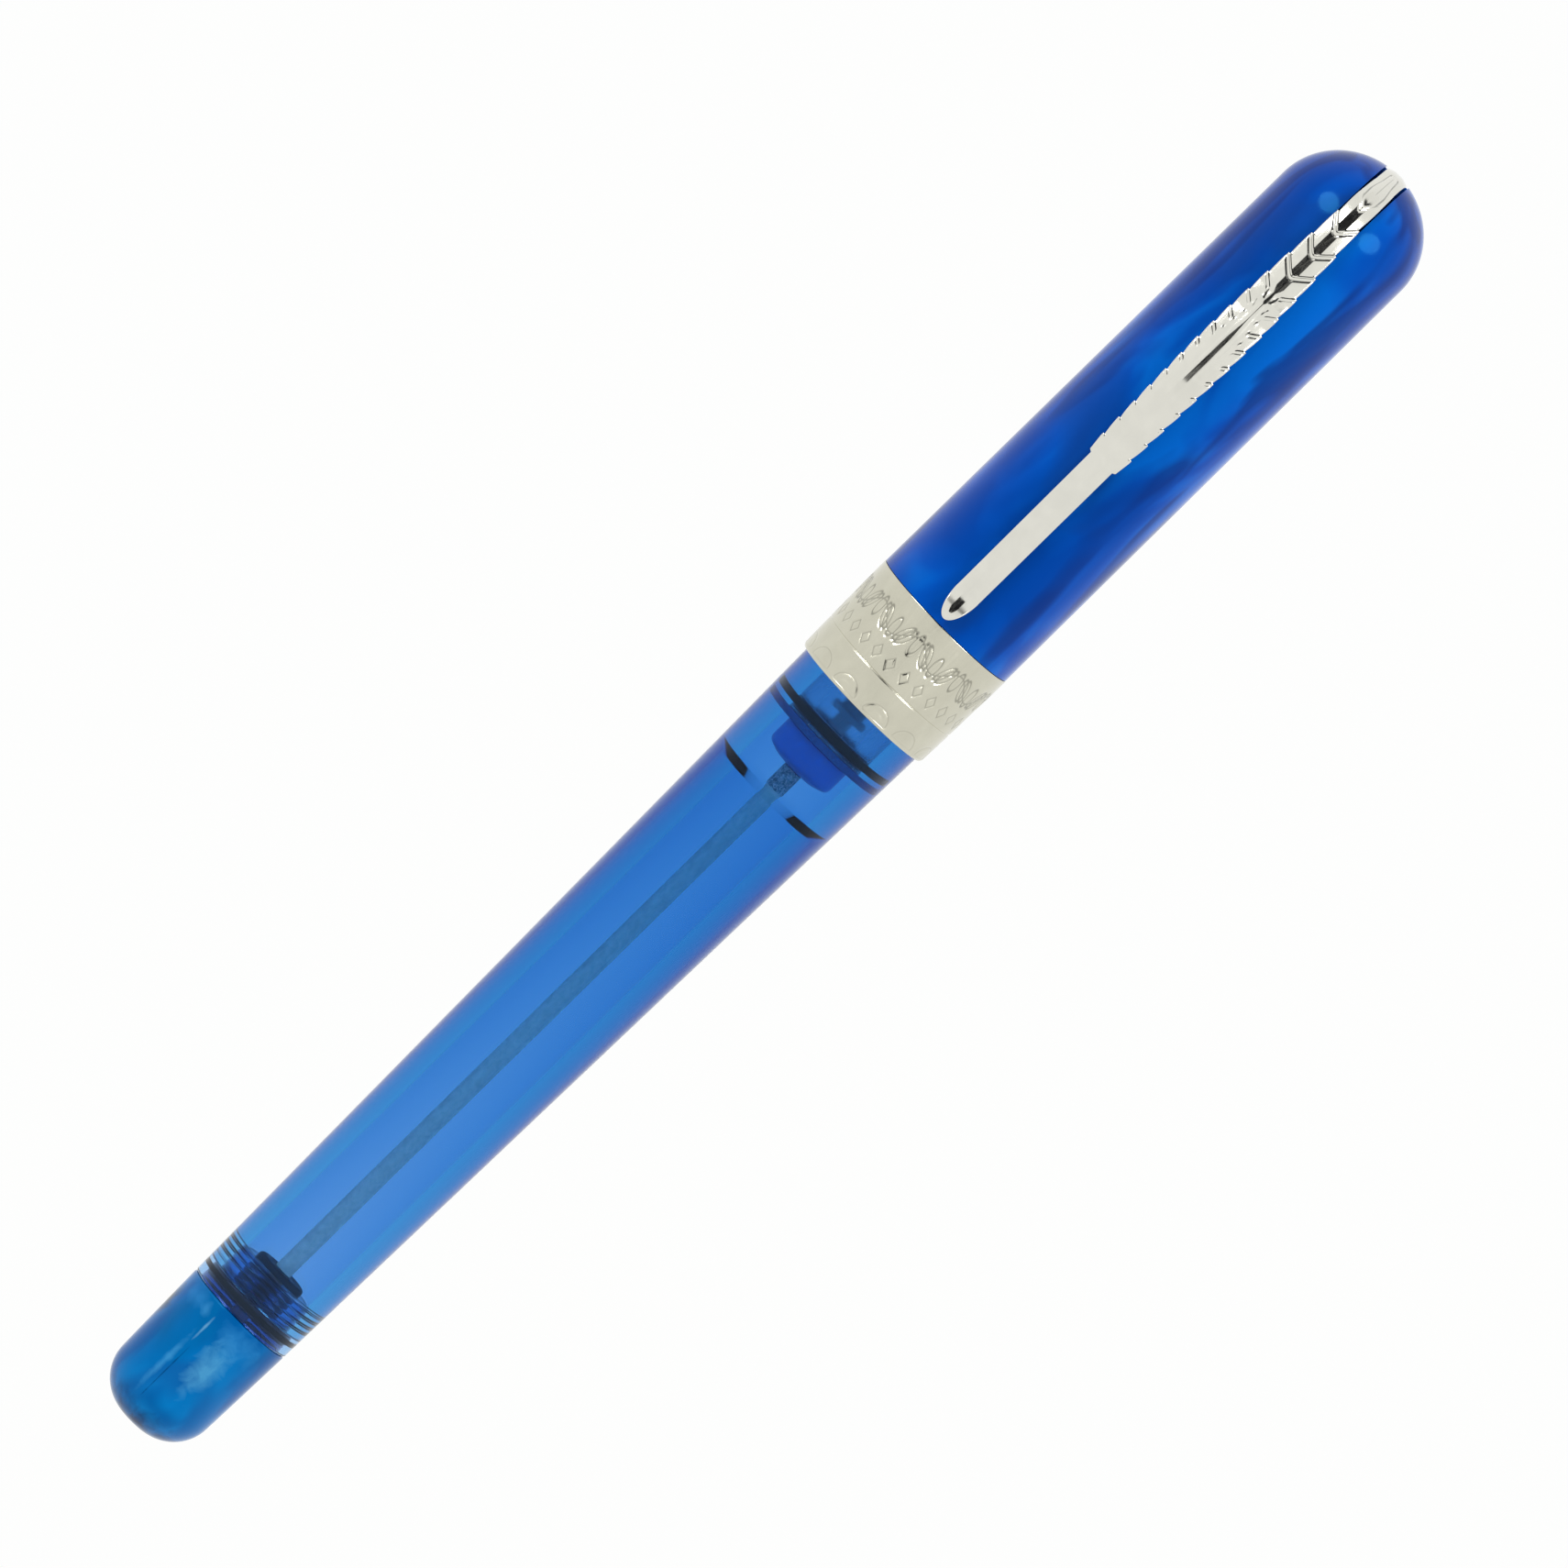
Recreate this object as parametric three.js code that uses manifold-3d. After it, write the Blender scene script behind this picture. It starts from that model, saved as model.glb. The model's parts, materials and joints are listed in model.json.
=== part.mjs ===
// A capped gel pen with a clear barrel that fills by a pull-out plunger, in millimetres.
// It lies along X with the cap at +X, the tail knob at -X and the clip on top (+Z).
// All turned pieces share one axis, AXIS_HEIGHT above the lowest line of the cap band.
import * as THREE from 'three';
import { mergeVertices } from 'three/addons/utils/BufferGeometryUtils.js';
import Module from 'manifold-3d';

const wasm = await Module();
wasm.setup();

// ---- Driving dimensions: places along X, and radii about the axis ----
const LENGTH = 142;
const BAND_RADIUS = 6.8;
const AXIS_HEIGHT = BAND_RADIUS;

const TAIL = -LENGTH / 2;
const KNOB_FACE = -58.8;
const BARREL_TAIL = -58.75;
const GLAND_SEAT = -57;
const RESERVOIR_TAIL = -54.35;
const CHAMBER_START = 0.35;
const CHAMBER_TAPER = 0.85;
const HEAD_START = 3.4;
const SECTION_START = 7;
const LIP = 10.95;
const BARREL_SHOULDER = 11.6;
const BARREL_FRONT = 16;
const BAND_END = 20.3;
const RING_START = 34.85;
const RING_END = 36.1;
const INNER_CAP_START = 36.3;
const TIP_BALL = 52.65;
const CAP_BORE_END = 60.2;
const DOME_START = 64.6;
const DOME_DEPTH = 6.3;

const BARREL_TAIL_RADIUS = 4.95;
const BARREL_LIP_RADIUS = 6.19;
const TENON_RADIUS = 5.45;
const RESERVOIR_BORE = 3.46;
const CHAMBER_BORE = 3.95;
const GLAND_BORE = 3.74;
const GASKET_BORE = 4.35;
const ROD_RADIUS = 0.77;
const HEAD_RADIUS = 3.2;
const CAP_SEAM_RADIUS = 6.76;
const CAP_DOME_RADIUS = 6.65;
const CAP_BORE = 5.85;
const CAP_SPIGOT_RADIUS = 6.26;
const BALL_RADIUS = 0.35;
const WICK_RADIUS = 0.5;
const PIN_RADIUS = 0.5;

// Clearances: between parts that are screwed or pressed together, and round parts that run.
const FIT = 0.04;
const RUNNING = 0.05;

// The clip's pivot, its slot in the crown, and its spring.
const PIVOT_X = 65.2;
const PIVOT_Z = 3.2;
const SLOT_HALF_WIDTH = 1.25;
const CLIP_TIP = 21;
const VANE_START = 38.7;
const STRIP_LIFT = 0.1;
const DOME_ARC = 6.45;
const CLIP_END_ANGLE = 102;

// ---- Shape helpers ----

// Points of an elliptic arc, as [x, radius] pairs, both ends included; angles in degrees.
function arc(x, radius, across, up, from, to, steps) {
  const points = [];
  for (let i = 0; i <= steps; i += 1) {
    const angle = THREE.MathUtils.degToRad(THREE.MathUtils.lerp(from, to, i / steps));
    points.push([x + across * Math.cos(angle), radius + up * Math.sin(angle)]);
  }
  return points;
}

// Thread ridges from x = from to x = to, as a zigzag between the root and crest radii.
function ridges(from, to, pitch, root, crest) {
  const points = [];
  const count = Math.floor((to - from) / pitch);
  for (let i = 0; i < count; i += 1) {
    points.push([from + pitch * i, root]);
    points.push([from + pitch * (i + 0.5), crest]);
  }
  points.push([to, root]);
  return points;
}

// A turned solid about the X axis. The profile starts and ends on the axis, or is a closed ring.
function turned(profile, segments) {
  const onAxis = profile[0][1] === 0;
  const loop = onAxis ? profile : [...profile, profile[0]];
  let area = 0;
  for (let i = 0; i < loop.length; i += 1) {
    const [x0, r0] = loop[i];
    const [x1, r1] = loop[(i + 1) % loop.length];
    area += r0 * x1 - r1 * x0;
  }
  const ordered = area > 0 ? loop : [...loop].reverse();
  const points = ordered.map(([x, radius]) => new THREE.Vector2(radius, x));
  const geometry = new THREE.LatheGeometry(points, segments);
  geometry.rotateZ(-Math.PI / 2);
  return geometry;
}

// A flat plate: an outline in X and Z, extruded across Y about the middle plane.
function plate(outline, halfWidth) {
  const shape = new THREE.Shape(outline.map(([x, z]) => new THREE.Vector2(x, z)));
  const geometry = new THREE.ExtrudeGeometry(shape, { depth: 2 * halfWidth, bevelEnabled: false });
  geometry.rotateX(Math.PI / 2);
  geometry.translate(0, halfWidth, 0);
  return geometry;
}

// A round bar along Y, centred on the middle plane.
function crossBar(x, z, radius, halfLength, segments) {
  const geometry = new THREE.CylinderGeometry(radius, radius, 2 * halfLength, segments);
  geometry.translate(x, 0, z);
  return geometry;
}

function toSolid(geometry) {
  const bare = geometry.clone();
  bare.deleteAttribute('normal');
  bare.deleteAttribute('uv');
  const merged = mergeVertices(bare, 1e-4);
  const mesh = new wasm.Mesh({
    numProp: 3,
    vertProperties: new Float32Array(merged.attributes.position.array),
    triVerts: new Uint32Array(merged.index.array),
  });
  mesh.merge();
  return new wasm.Manifold(mesh);
}

function toGeometry(solid) {
  const mesh = solid.getMesh();
  const geometry = new THREE.BufferGeometry();
  geometry.setAttribute('position', new THREE.BufferAttribute(mesh.vertProperties, 3));
  geometry.setIndex(new THREE.BufferAttribute(mesh.triVerts, 1));
  geometry.computeVertexNormals();
  return geometry;
}

// The value at u on a line through [u, value] points.
function along(points, u) {
  for (let i = 1; i < points.length; i += 1) {
    const [u0, v0] = points[i - 1];
    const [u1, v1] = points[i];
    if (u <= u1) {
      const t = THREE.MathUtils.clamp((u - u0) / (u1 - u0), 0, 1);
      return THREE.MathUtils.lerp(v0, v1, t);
    }
  }
  return points[points.length - 1][1];
}

// ---- Materials ----
const materials = {
  clearBlue: { color: 0x2f78cc, roughness: 0.08, metalness: 0, transparent: true, opacity: 0.45 },
  marbledBlue: { color: 0x0a5cbe, roughness: 0.15, metalness: 0 },
  marbledTurquoise: { color: 0x1c78be, roughness: 0.2, metalness: 0 },
  solidBlue: { color: 0x0048a2, roughness: 0.3, metalness: 0 },
  silver: { color: 0xd2d0c4, roughness: 0.18, metalness: 1 },
  steel: { color: 0xb4b6b8, roughness: 0.25, metalness: 1 },
  carbide: { color: 0x8a8c90, roughness: 0.1, metalness: 1 },
  rodGrey: { color: 0x7f98a8, roughness: 0.35, metalness: 0.6 },
  ferruleGrey: { color: 0x434a55, roughness: 0.6, metalness: 0.4 },
  brass: { color: 0xb5924a, roughness: 0.3, metalness: 1 },
  magnet: { color: 0x8d9094, roughness: 0.3, metalness: 0.9 },
  blackRubber: { color: 0x17212a, roughness: 0.7, metalness: 0 },
  navyRubber: { color: 0x043578, roughness: 0.6, metalness: 0 },
  paleClear: { color: 0x9cc4e4, roughness: 0.25, metalness: 0, transparent: true, opacity: 0.5 },
  smokePlastic: { color: 0x5a676d, roughness: 0.5, metalness: 0 },
  milkyPlastic: { color: 0xd8dde2, roughness: 0.5, metalness: 0 },
  fibre: { color: 0xe9e6da, roughness: 0.9, metalness: 0 },
};

function piece(name, geometry, look) {
  const mesh = new THREE.Mesh(geometry, new THREE.MeshStandardMaterial(materials[look]));
  mesh.name = name;
  return mesh;
}

// ---- Barrel and its tail seal ----

function barrel() {
  return turned([
    [BARREL_TAIL, GASKET_BORE],
    [BARREL_TAIL, BARREL_TAIL_RADIUS - 0.08],
    [BARREL_TAIL + 0.08, BARREL_TAIL_RADIUS],
    [BARREL_SHOULDER, BARREL_LIP_RADIUS],
    [BARREL_SHOULDER, TENON_RADIUS],
    [BARREL_FRONT, TENON_RADIUS],
    [BARREL_FRONT, CHAMBER_BORE],
    [CHAMBER_START + CHAMBER_TAPER, CHAMBER_BORE],
    [CHAMBER_START, RESERVOIR_BORE],
    [RESERVOIR_TAIL, RESERVOIR_BORE],
    [RESERVOIR_TAIL, GLAND_BORE],
    [GLAND_SEAT, GLAND_BORE],
    [GLAND_SEAT, GASKET_BORE],
  ], 48);
}

// The bush screws into the barrel's tail. Its rear spigot carries the knob's thread.
const SPIGOT_END = -62.6;
const SPIGOT_RADIUS = 3.2;
const KNOB_PITCH = 0.69;
const BUSH_FRONT = -54.45;
const BUSH_NECK = 3.25;
const BUSH_PITCH = 0.56;
const FLANGE_REAR = BARREL_TAIL + RUNNING;
const FLANGE_FRONT = FLANGE_REAR + 0.65;
const PACKING_SEAT = -56.9;
const PACKING_BORE = 2.42;

function glandBush() {
  const spigotRoot = SPIGOT_RADIUS - 0.25;
  const bodyRoot = 3.42;
  const neckEnd = GLAND_SEAT + RUNNING;
  return turned([
    [SPIGOT_END, ROD_RADIUS + RUNNING],
    [SPIGOT_END, spigotRoot],
    ...ridges(SPIGOT_END + 0.2, BARREL_TAIL - 0.5, KNOB_PITCH, spigotRoot, SPIGOT_RADIUS),
    [FLANGE_REAR, spigotRoot],
    [FLANGE_REAR, GASKET_BORE - RUNNING],
    [FLANGE_FRONT, GASKET_BORE - RUNNING],
    [FLANGE_FRONT, BUSH_NECK],
    [neckEnd, BUSH_NECK],
    [neckEnd, bodyRoot],
    ...ridges(neckEnd + 0.1, BUSH_FRONT - 0.09, BUSH_PITCH, bodyRoot, GLAND_BORE - FIT),
    [BUSH_FRONT, bodyRoot],
    [BUSH_FRONT, PACKING_BORE],
    [PACKING_SEAT, PACKING_BORE],
    [PACKING_SEAT, ROD_RADIUS + RUNNING],
  ], 28);
}

function glandSeal() {
  const front = BUSH_FRONT + 0.6;
  const radius = PACKING_BORE - FIT;
  return turned([
    [PACKING_SEAT + FIT, ROD_RADIUS + FIT],
    [PACKING_SEAT + FIT, radius],
    [front - 0.3, radius],
    ...arc(front - 0.3, radius - 0.3, 0.3, 0.3, 60, 0, 2),
    [front, ROD_RADIUS + FIT],
  ], 28);
}

// An O-ring in a groove: the middle of its section, and the section's radius.
function oRing(x, radius, thickness) {
  return turned(arc(x, radius, thickness, thickness, 0, 315, 7), 28);
}

function tailORing() {
  const thickness = 0.44;
  return oRing(FLANGE_FRONT + FIT + thickness, (BUSH_NECK + GASKET_BORE) / 2, thickness);
}

// ---- Grip section and writing end ----
const SECTION_BORE = 2.4;
const NOSE_SEAT = 30.3;
const NOSE_SOCKET = 3.3;
const RING_SPIGOT = 3.95;
const FEED_START = 8.1;
const FEED_END = 40;
const TUBE_RADIUS = 1.1;
const TUBE_START = 41;
const GROOVE_START = 7.2;
const GROOVE_END = 8.2;
const GROOVE_RADIUS = 2.95;

function gripSection() {
  const tenon = CHAMBER_BORE - RUNNING;
  const threadRoot = 3.65;
  const shoulder = BARREL_FRONT + RUNNING;
  const end = RING_START - FIT;
  const grip = new THREE.SplineCurve([
    new THREE.Vector2(shoulder + 1.2, TENON_RADIUS),
    new THREE.Vector2(22, 5.15),
    new THREE.Vector2(28, 4.75),
    new THREE.Vector2(32.5, 4.72),
    new THREE.Vector2(end, 5),
  ]).getPoints(8).map((point) => [point.x, point.y]);
  return turned([
    [SECTION_START, SECTION_BORE],
    [SECTION_START, tenon],
    [GROOVE_START, tenon],
    [GROOVE_START, GROOVE_RADIUS],
    [GROOVE_END, GROOVE_RADIUS],
    [GROOVE_END, tenon],
    [BARREL_SHOULDER - 0.3, tenon],
    ...ridges(BARREL_SHOULDER, BARREL_FRONT - 0.7, 0.74, threadRoot, tenon),
    [shoulder, threadRoot],
    [shoulder, TENON_RADIUS],
    ...grip,
    [end, RING_SPIGOT],
    [RING_END + RUNNING, RING_SPIGOT],
    [RING_END + RUNNING, NOSE_SOCKET],
    [NOSE_SEAT, NOSE_SOCKET],
    [NOSE_SEAT, SECTION_BORE],
  ], 28);
}

function sectionORing() {
  return oRing((GROOVE_START + GROOVE_END) / 2, GROOVE_RADIUS + 0.51, 0.45);
}

// A flat washer between the chamber and the rear face of the section.
function chamberGasket() {
  const outer = CHAMBER_BORE - RUNNING;
  const inner = outer - 0.4;
  const rear = SECTION_START - 0.7;
  const front = SECTION_START - RUNNING;
  return turned([
    [rear, inner],
    [rear, outer],
    [front, outer],
    [front, inner],
  ], 32);
}

function closureRing() {
  const outer = 5.05;
  const edge = 0.12;
  return turned([
    [RING_START, RING_SPIGOT + FIT],
    [RING_START, outer - edge],
    [RING_START + edge, outer],
    [RING_END - edge, outer],
    [RING_END, outer - edge],
    [RING_END, RING_SPIGOT + FIT],
  ], 32);
}

// The feed: a rear nipple and disc, then a body with buffer fins, bored for the wick.
function inkFeed() {
  const bore = WICK_RADIUS + FIT;
  const body = SECTION_BORE - 0.1;
  const nipple = 0.75;
  const disc = 1.7;
  const neck = 1.1;
  const discStart = FEED_START + 1.3;
  const discEnd = discStart + 0.5;
  const bodyStart = discEnd + 2.1;
  const finRoot = 1.3;
  const finPitch = 2.7;
  const finCount = 8;
  const fins = [];
  for (let i = 0; i < finCount; i += 1) {
    const x = bodyStart + 3 + finPitch * i;
    fins.push([x, body], [x, finRoot], [x + finPitch / 2, finRoot], [x + finPitch / 2, body]);
  }
  return turned([
    [FEED_START, bore],
    [FEED_START, nipple],
    [discStart, nipple],
    [discStart, disc],
    [discEnd, disc],
    [discEnd, neck],
    [bodyStart, neck],
    [bodyStart, body],
    ...fins,
    [FEED_END, body],
    [FEED_END, bore],
  ], 16);
}

function feedWick() {
  const rear = FEED_START + 0.1;
  const front = TIP_BALL - BALL_RADIUS - 0.2;
  return turned([[rear, 0], [rear, WICK_RADIUS], [front, WICK_RADIUS], [front, 0]], 12);
}

function noseCone() {
  const seat = RING_END + 2 * RUNNING;
  const spigot = NOSE_SOCKET - RUNNING;
  const tubeBore = TUBE_RADIUS + FIT;
  const tubeSeat = TUBE_START + 3.5;
  const front = 50.3;
  const widest = 4.4;
  const tip = 1.4;
  const taper = new THREE.SplineCurve([
    new THREE.Vector2(seat + 1, widest),
    new THREE.Vector2(41, 3.45),
    new THREE.Vector2(46, 2.1),
    new THREE.Vector2(front - 0.2, tip),
  ]).getPoints(7).map((point) => [point.x, point.y]);
  return turned([
    [NOSE_SEAT + 0.1, SECTION_BORE],
    [NOSE_SEAT + 0.1, spigot],
    [seat, spigot],
    [seat, widest - 0.1],
    [seat + 0.1, widest],
    ...taper,
    [front, tip - 0.15],
    [front, tubeBore],
    [tubeSeat, tubeBore],
    [FEED_END + 0.6, SECTION_BORE],
  ], 24);
}

function tipTube() {
  const bore = WICK_RADIUS + FIT;
  const rim = BALL_RADIUS + 0.03;
  return turned([
    [TUBE_START, bore],
    [TUBE_START, TUBE_RADIUS],
    [TIP_BALL - 1.75, TUBE_RADIUS],
    [TIP_BALL, rim + 0.1],
    [TIP_BALL + 0.06, rim],
    [TIP_BALL - 0.25, rim],
    [TIP_BALL - 0.5, bore],
  ], 20);
}

function writingBall() {
  const geometry = new THREE.SphereGeometry(BALL_RADIUS, 12, 8);
  geometry.translate(TIP_BALL, 0, 0);
  return geometry;
}

// ---- Plunger ----
const ROD_TAIL = -66.6;
const ROD_FRONT = 2.8;
const FERRULE_START = 1.2;
const SEAL_GROOVE_START = 6.2;
const SEAL_GROOVE_END = 6.6;
const SEAL_SEAT = 2.62;
const STUB_END = 4.8;
const STUB_RADIUS = 0.55;

function plungerRod() {
  return turned([[ROD_TAIL, 0], [ROD_TAIL, ROD_RADIUS], [ROD_FRONT, ROD_RADIUS], [ROD_FRONT, 0]], 20);
}

function rodFerrule() {
  const socket = ROD_RADIUS + 0.03;
  const outer = 0.88;
  return turned([
    [ROD_FRONT + FIT, 0],
    [ROD_FRONT + FIT, socket],
    [FERRULE_START, socket],
    [FERRULE_START, outer],
    [HEAD_START - FIT, outer],
    [HEAD_START - FIT, STUB_RADIUS],
    [STUB_END, STUB_RADIUS],
    [STUB_END, 0],
  ], 20);
}

// The head's rear face bulges towards the rod.
function plungerHead() {
  const bulge = 0.35;
  const corner = 0.65;
  const front = SECTION_START - 0.13;
  return turned([
    [STUB_END + FIT, 0],
    [STUB_END + FIT, STUB_RADIUS + FIT],
    [HEAD_START, STUB_RADIUS + FIT],
    [HEAD_START + 0.3 * bulge, 0.6 * HEAD_RADIUS],
    ...arc(HEAD_START + bulge + corner, HEAD_RADIUS - corner, corner, corner, 165, 90, 4),
    [SEAL_GROOVE_START, HEAD_RADIUS],
    [SEAL_GROOVE_START, SEAL_SEAT],
    [SEAL_GROOVE_END, SEAL_SEAT],
    [SEAL_GROOVE_END, HEAD_RADIUS - 0.2],
    [front, HEAD_RADIUS - 0.2],
    [front, 0],
  ], 32);
}

function plungerSeal() {
  const lip = RESERVOIR_BORE - 0.03;
  return turned([
    [SEAL_GROOVE_START + FIT, SEAL_SEAT + FIT],
    [SEAL_GROOVE_START + FIT, lip],
    [SEAL_GROOVE_END - 0.14, lip],
    [SEAL_GROOVE_END - FIT, lip - 0.1],
    [SEAL_GROOVE_END - FIT, SEAL_SEAT + FIT],
  ], 32);
}

// ---- Tail knob ----
const COLLET_RADIUS = 1.86;
const COLLET_FRONT = -63.3;
const COLLET_REAR = -67.5;

function fillerKnob() {
  const domeDepth = 3.8;
  const domeStart = TAIL + domeDepth;
  const domeRadius = 4.74;
  const tipFlat = 0.8;
  const crest = SPIGOT_RADIUS + 0.06;
  const root = crest + 0.24;
  const socketEnd = SPIGOT_END - 0.6;
  return turned([
    [TAIL, 0],
    ...arc(domeStart, tipFlat, -domeDepth, domeRadius - tipFlat, 0, 90, 8),
    [KNOB_FACE - 0.15, BARREL_TAIL_RADIUS],
    [KNOB_FACE, BARREL_TAIL_RADIUS - 0.12],
    [KNOB_FACE, root],
    ...ridges(socketEnd + 0.3, KNOB_FACE - 0.3, KNOB_PITCH, root, crest).reverse(),
    [socketEnd, root],
    [socketEnd, COLLET_RADIUS + FIT],
    [COLLET_REAR - FIT, COLLET_RADIUS + FIT],
    [COLLET_REAR - FIT, 0],
  ], 32);
}

function knobCollet() {
  const bore = ROD_RADIUS + 0.03;
  return turned([
    [COLLET_REAR, 0],
    [COLLET_REAR, COLLET_RADIUS],
    [COLLET_FRONT, COLLET_RADIUS],
    [COLLET_FRONT, bore],
    [ROD_TAIL - FIT, bore],
    [ROD_TAIL - FIT, 0],
  ], 20);
}

// ---- Cap ----

// The slot in the crown: a deep pocket for the clip's lug and spring, and a shallow run over the apex.
const POCKET_START = 62.6;
const POCKET_FLOOR = 0.8;
const POCKET_END = 69.3;
const SLOT_FLOOR = -2.1;
const PIN_HALF_LENGTH = 3.3;

function capShell() {
  const apex = DOME_START + DOME_DEPTH;
  const start = BAND_END + FIT;
  const above = CAP_SEAM_RADIUS + 2;
  const shell = toSolid(turned([
    [apex, 0],
    ...arc(DOME_START, 0, DOME_DEPTH, CAP_DOME_RADIUS, 9, 90, 9),
    [start, CAP_SEAM_RADIUS],
    [start, CAP_SPIGOT_RADIUS],
    [LIP + 1.5, CAP_SPIGOT_RADIUS],
    [LIP + 1.5, CAP_BORE],
    [CAP_BORE_END, CAP_BORE],
    [CAP_BORE_END, 0],
  ], 48));
  const slot = toSolid(plate([
    [POCKET_START, above],
    [POCKET_START, POCKET_FLOOR],
    [POCKET_END, POCKET_FLOOR],
    [POCKET_END, SLOT_FLOOR],
    [apex + 1, SLOT_FLOOR],
    [apex + 1, above],
  ], SLOT_HALF_WIDTH));
  const pinHole = toSolid(crossBar(PIVOT_X, PIVOT_Z, PIN_RADIUS + FIT, PIN_HALF_LENGTH + FIT, 16));
  return toGeometry(shell.subtract(slot).subtract(pinHole));
}

function capBand() {
  const bore = CAP_SPIGOT_RADIUS + FIT;
  const lip = 6.62;
  const line = LIP + 3.1;
  const lineRadius = 6.7;
  const groove = 0.08;
  return turned([
    [LIP, bore],
    [LIP, bore + 0.2],
    [LIP + 0.2, lip],
    [line - 0.1, lineRadius],
    [line, lineRadius - groove],
    [line + 0.1, lineRadius],
    [BAND_END - 0.6, BAND_RADIUS],
    [BAND_END, BAND_RADIUS],
    [BAND_END, bore],
  ], 40);
}

const MAGNET_BORE = 4.5;
const MAGNET_RADIUS = 5.25;
const MAGNET_END = 38.3;

function innerCap() {
  const outer = CAP_BORE - RUNNING;
  const wide = MAGNET_BORE + 0.05;
  const narrow = 3.4;
  const end = CAP_BORE_END - 0.2;
  const floor = end - 1.4;
  const taperEnd = 50;
  const taperStart = 45;
  return turned([
    [floor, 0],
    [floor, narrow],
    [taperEnd, narrow],
    [taperStart, wide],
    [MAGNET_END + FIT, wide],
    [MAGNET_END + FIT, MAGNET_RADIUS + FIT],
    [INNER_CAP_START, MAGNET_RADIUS + FIT],
    [INNER_CAP_START, outer],
    [end, outer],
    [end, 0],
  ], 28);
}

function capMagnet() {
  const start = INNER_CAP_START + FIT;
  return turned([
    [start, MAGNET_BORE],
    [start, MAGNET_RADIUS],
    [MAGNET_END, MAGNET_RADIUS],
    [MAGNET_END, MAGNET_BORE],
  ], 32);
}

// ---- Clip ----

// The clip's length is measured by u: X along the cap's side, then arc length over the dome.
// Each place has the cap's surface point and outward normal in the X-Z plane.
function capTop(u) {
  if (u <= DOME_START) {
    const slope = (CAP_DOME_RADIUS - CAP_SEAM_RADIUS) / (DOME_START - BAND_END);
    const side = new THREE.Vector2(u, CAP_SEAM_RADIUS + slope * (u - BAND_END));
    return { point: side, normal: new THREE.Vector2(0, 1) };
  }
  const angle = (u - DOME_START) / DOME_ARC;
  const point = new THREE.Vector2(
    DOME_START + DOME_DEPTH * Math.sin(angle),
    CAP_DOME_RADIUS * Math.cos(angle),
  );
  const normal = new THREE.Vector2(
    Math.sin(angle) / DOME_DEPTH,
    Math.cos(angle) / CAP_DOME_RADIUS,
  );
  return { point, normal: normal.normalize() };
}

const APEX_U = DOME_START + DOME_ARC * Math.PI / 2;
const CLIP_END_U = DOME_START + DOME_ARC * THREE.MathUtils.degToRad(CLIP_END_ANGLE);

// Height of the clip's outer face over the cap, its thickness, and the half width without its barbs.
const LIFT = [
  [CLIP_TIP, 1.35], [23, 1], [25.5, 1.05], [32, 1.45], [40, 2], [46, 2.38], [48, 2.42], [50, 2.32],
  [DOME_START, 1.15], [67, 0.95], [69, 0.78], [72, 0.3], [73.4, 0.12],
  [APEX_U, STRIP_LIFT], [CLIP_END_U, STRIP_LIFT],
];
const THICKNESS = [
  [CLIP_TIP, 0.5], [23, 0.85], [40, 1.1], [60, 1.05], [67, 0.75], [69, 0.85], [CLIP_END_U, 0.8],
];
const HALF_WIDTH = [
  [VANE_START - 0.2, 1.2], [VANE_START + 0.4, 1.48], [VANE_START + 1.5, 1.6], [45, 1.73], [51, 1.86],
  [55, 1.81], [59, 1.66], [64, 1.36], [66, 1.24], [69, 1.12], [72, 1.04], [CLIP_END_U, 1.04],
];
const BARB_COUNT = 15;
const FIRST_NOTCH = 40.5;
const BARB_PITCH = 1.79;
const EVEN_BARBS = 8;
const BARB_GROWTH = 1.075;
const NOTCH_DEPTH = 0.15;

// The notches between the barbs on both edges: evenly spaced at first, then further apart.
function barbNotches() {
  const notches = [FIRST_NOTCH];
  let pitch = BARB_PITCH;
  for (let i = 1; i < BARB_COUNT; i += 1) {
    if (i > EVEN_BARBS) pitch *= BARB_GROWTH;
    notches.push(notches[i - 1] + pitch);
  }
  return notches;
}

// Places along the clip, each with u and half width.
function clipPlaces() {
  const places = [];
  const tipLength = 2.8;
  const shankHalfWidth = 1.16;
  for (const part of [0.02, 0.1, 0.25, 0.5, 0.75, 1]) {
    const half = shankHalfWidth * Math.sqrt(1 - (1 - part) ** 2);
    places.push({ u: CLIP_TIP + tipLength * part, half });
  }
  for (const u of [26, 29, 32, 35, VANE_START - 0.2, VANE_START, VANE_START + 0.4, VANE_START + 1]) {
    const half = u < VANE_START ? along([[24, shankHalfWidth], [VANE_START, 1.2]], u) : along(HALF_WIDTH, u);
    places.push({ u, half });
  }
  for (const notch of barbNotches()) {
    places.push({ u: notch - 0.03, half: along(HALF_WIDTH, notch) });
    places.push({ u: notch + 0.03, half: along(HALF_WIDTH, notch) - NOTCH_DEPTH });
  }
  const crownSteps = 6;
  for (let i = 0; i <= crownSteps; i += 1) {
    const u = THREE.MathUtils.lerp(71, APEX_U, i / crownSteps);
    places.push({ u, half: along(HALF_WIDTH, u) });
  }
  places.push({ u: CLIP_END_U, half: along(HALF_WIDTH, CLIP_END_U) });
  return places;
}

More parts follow.
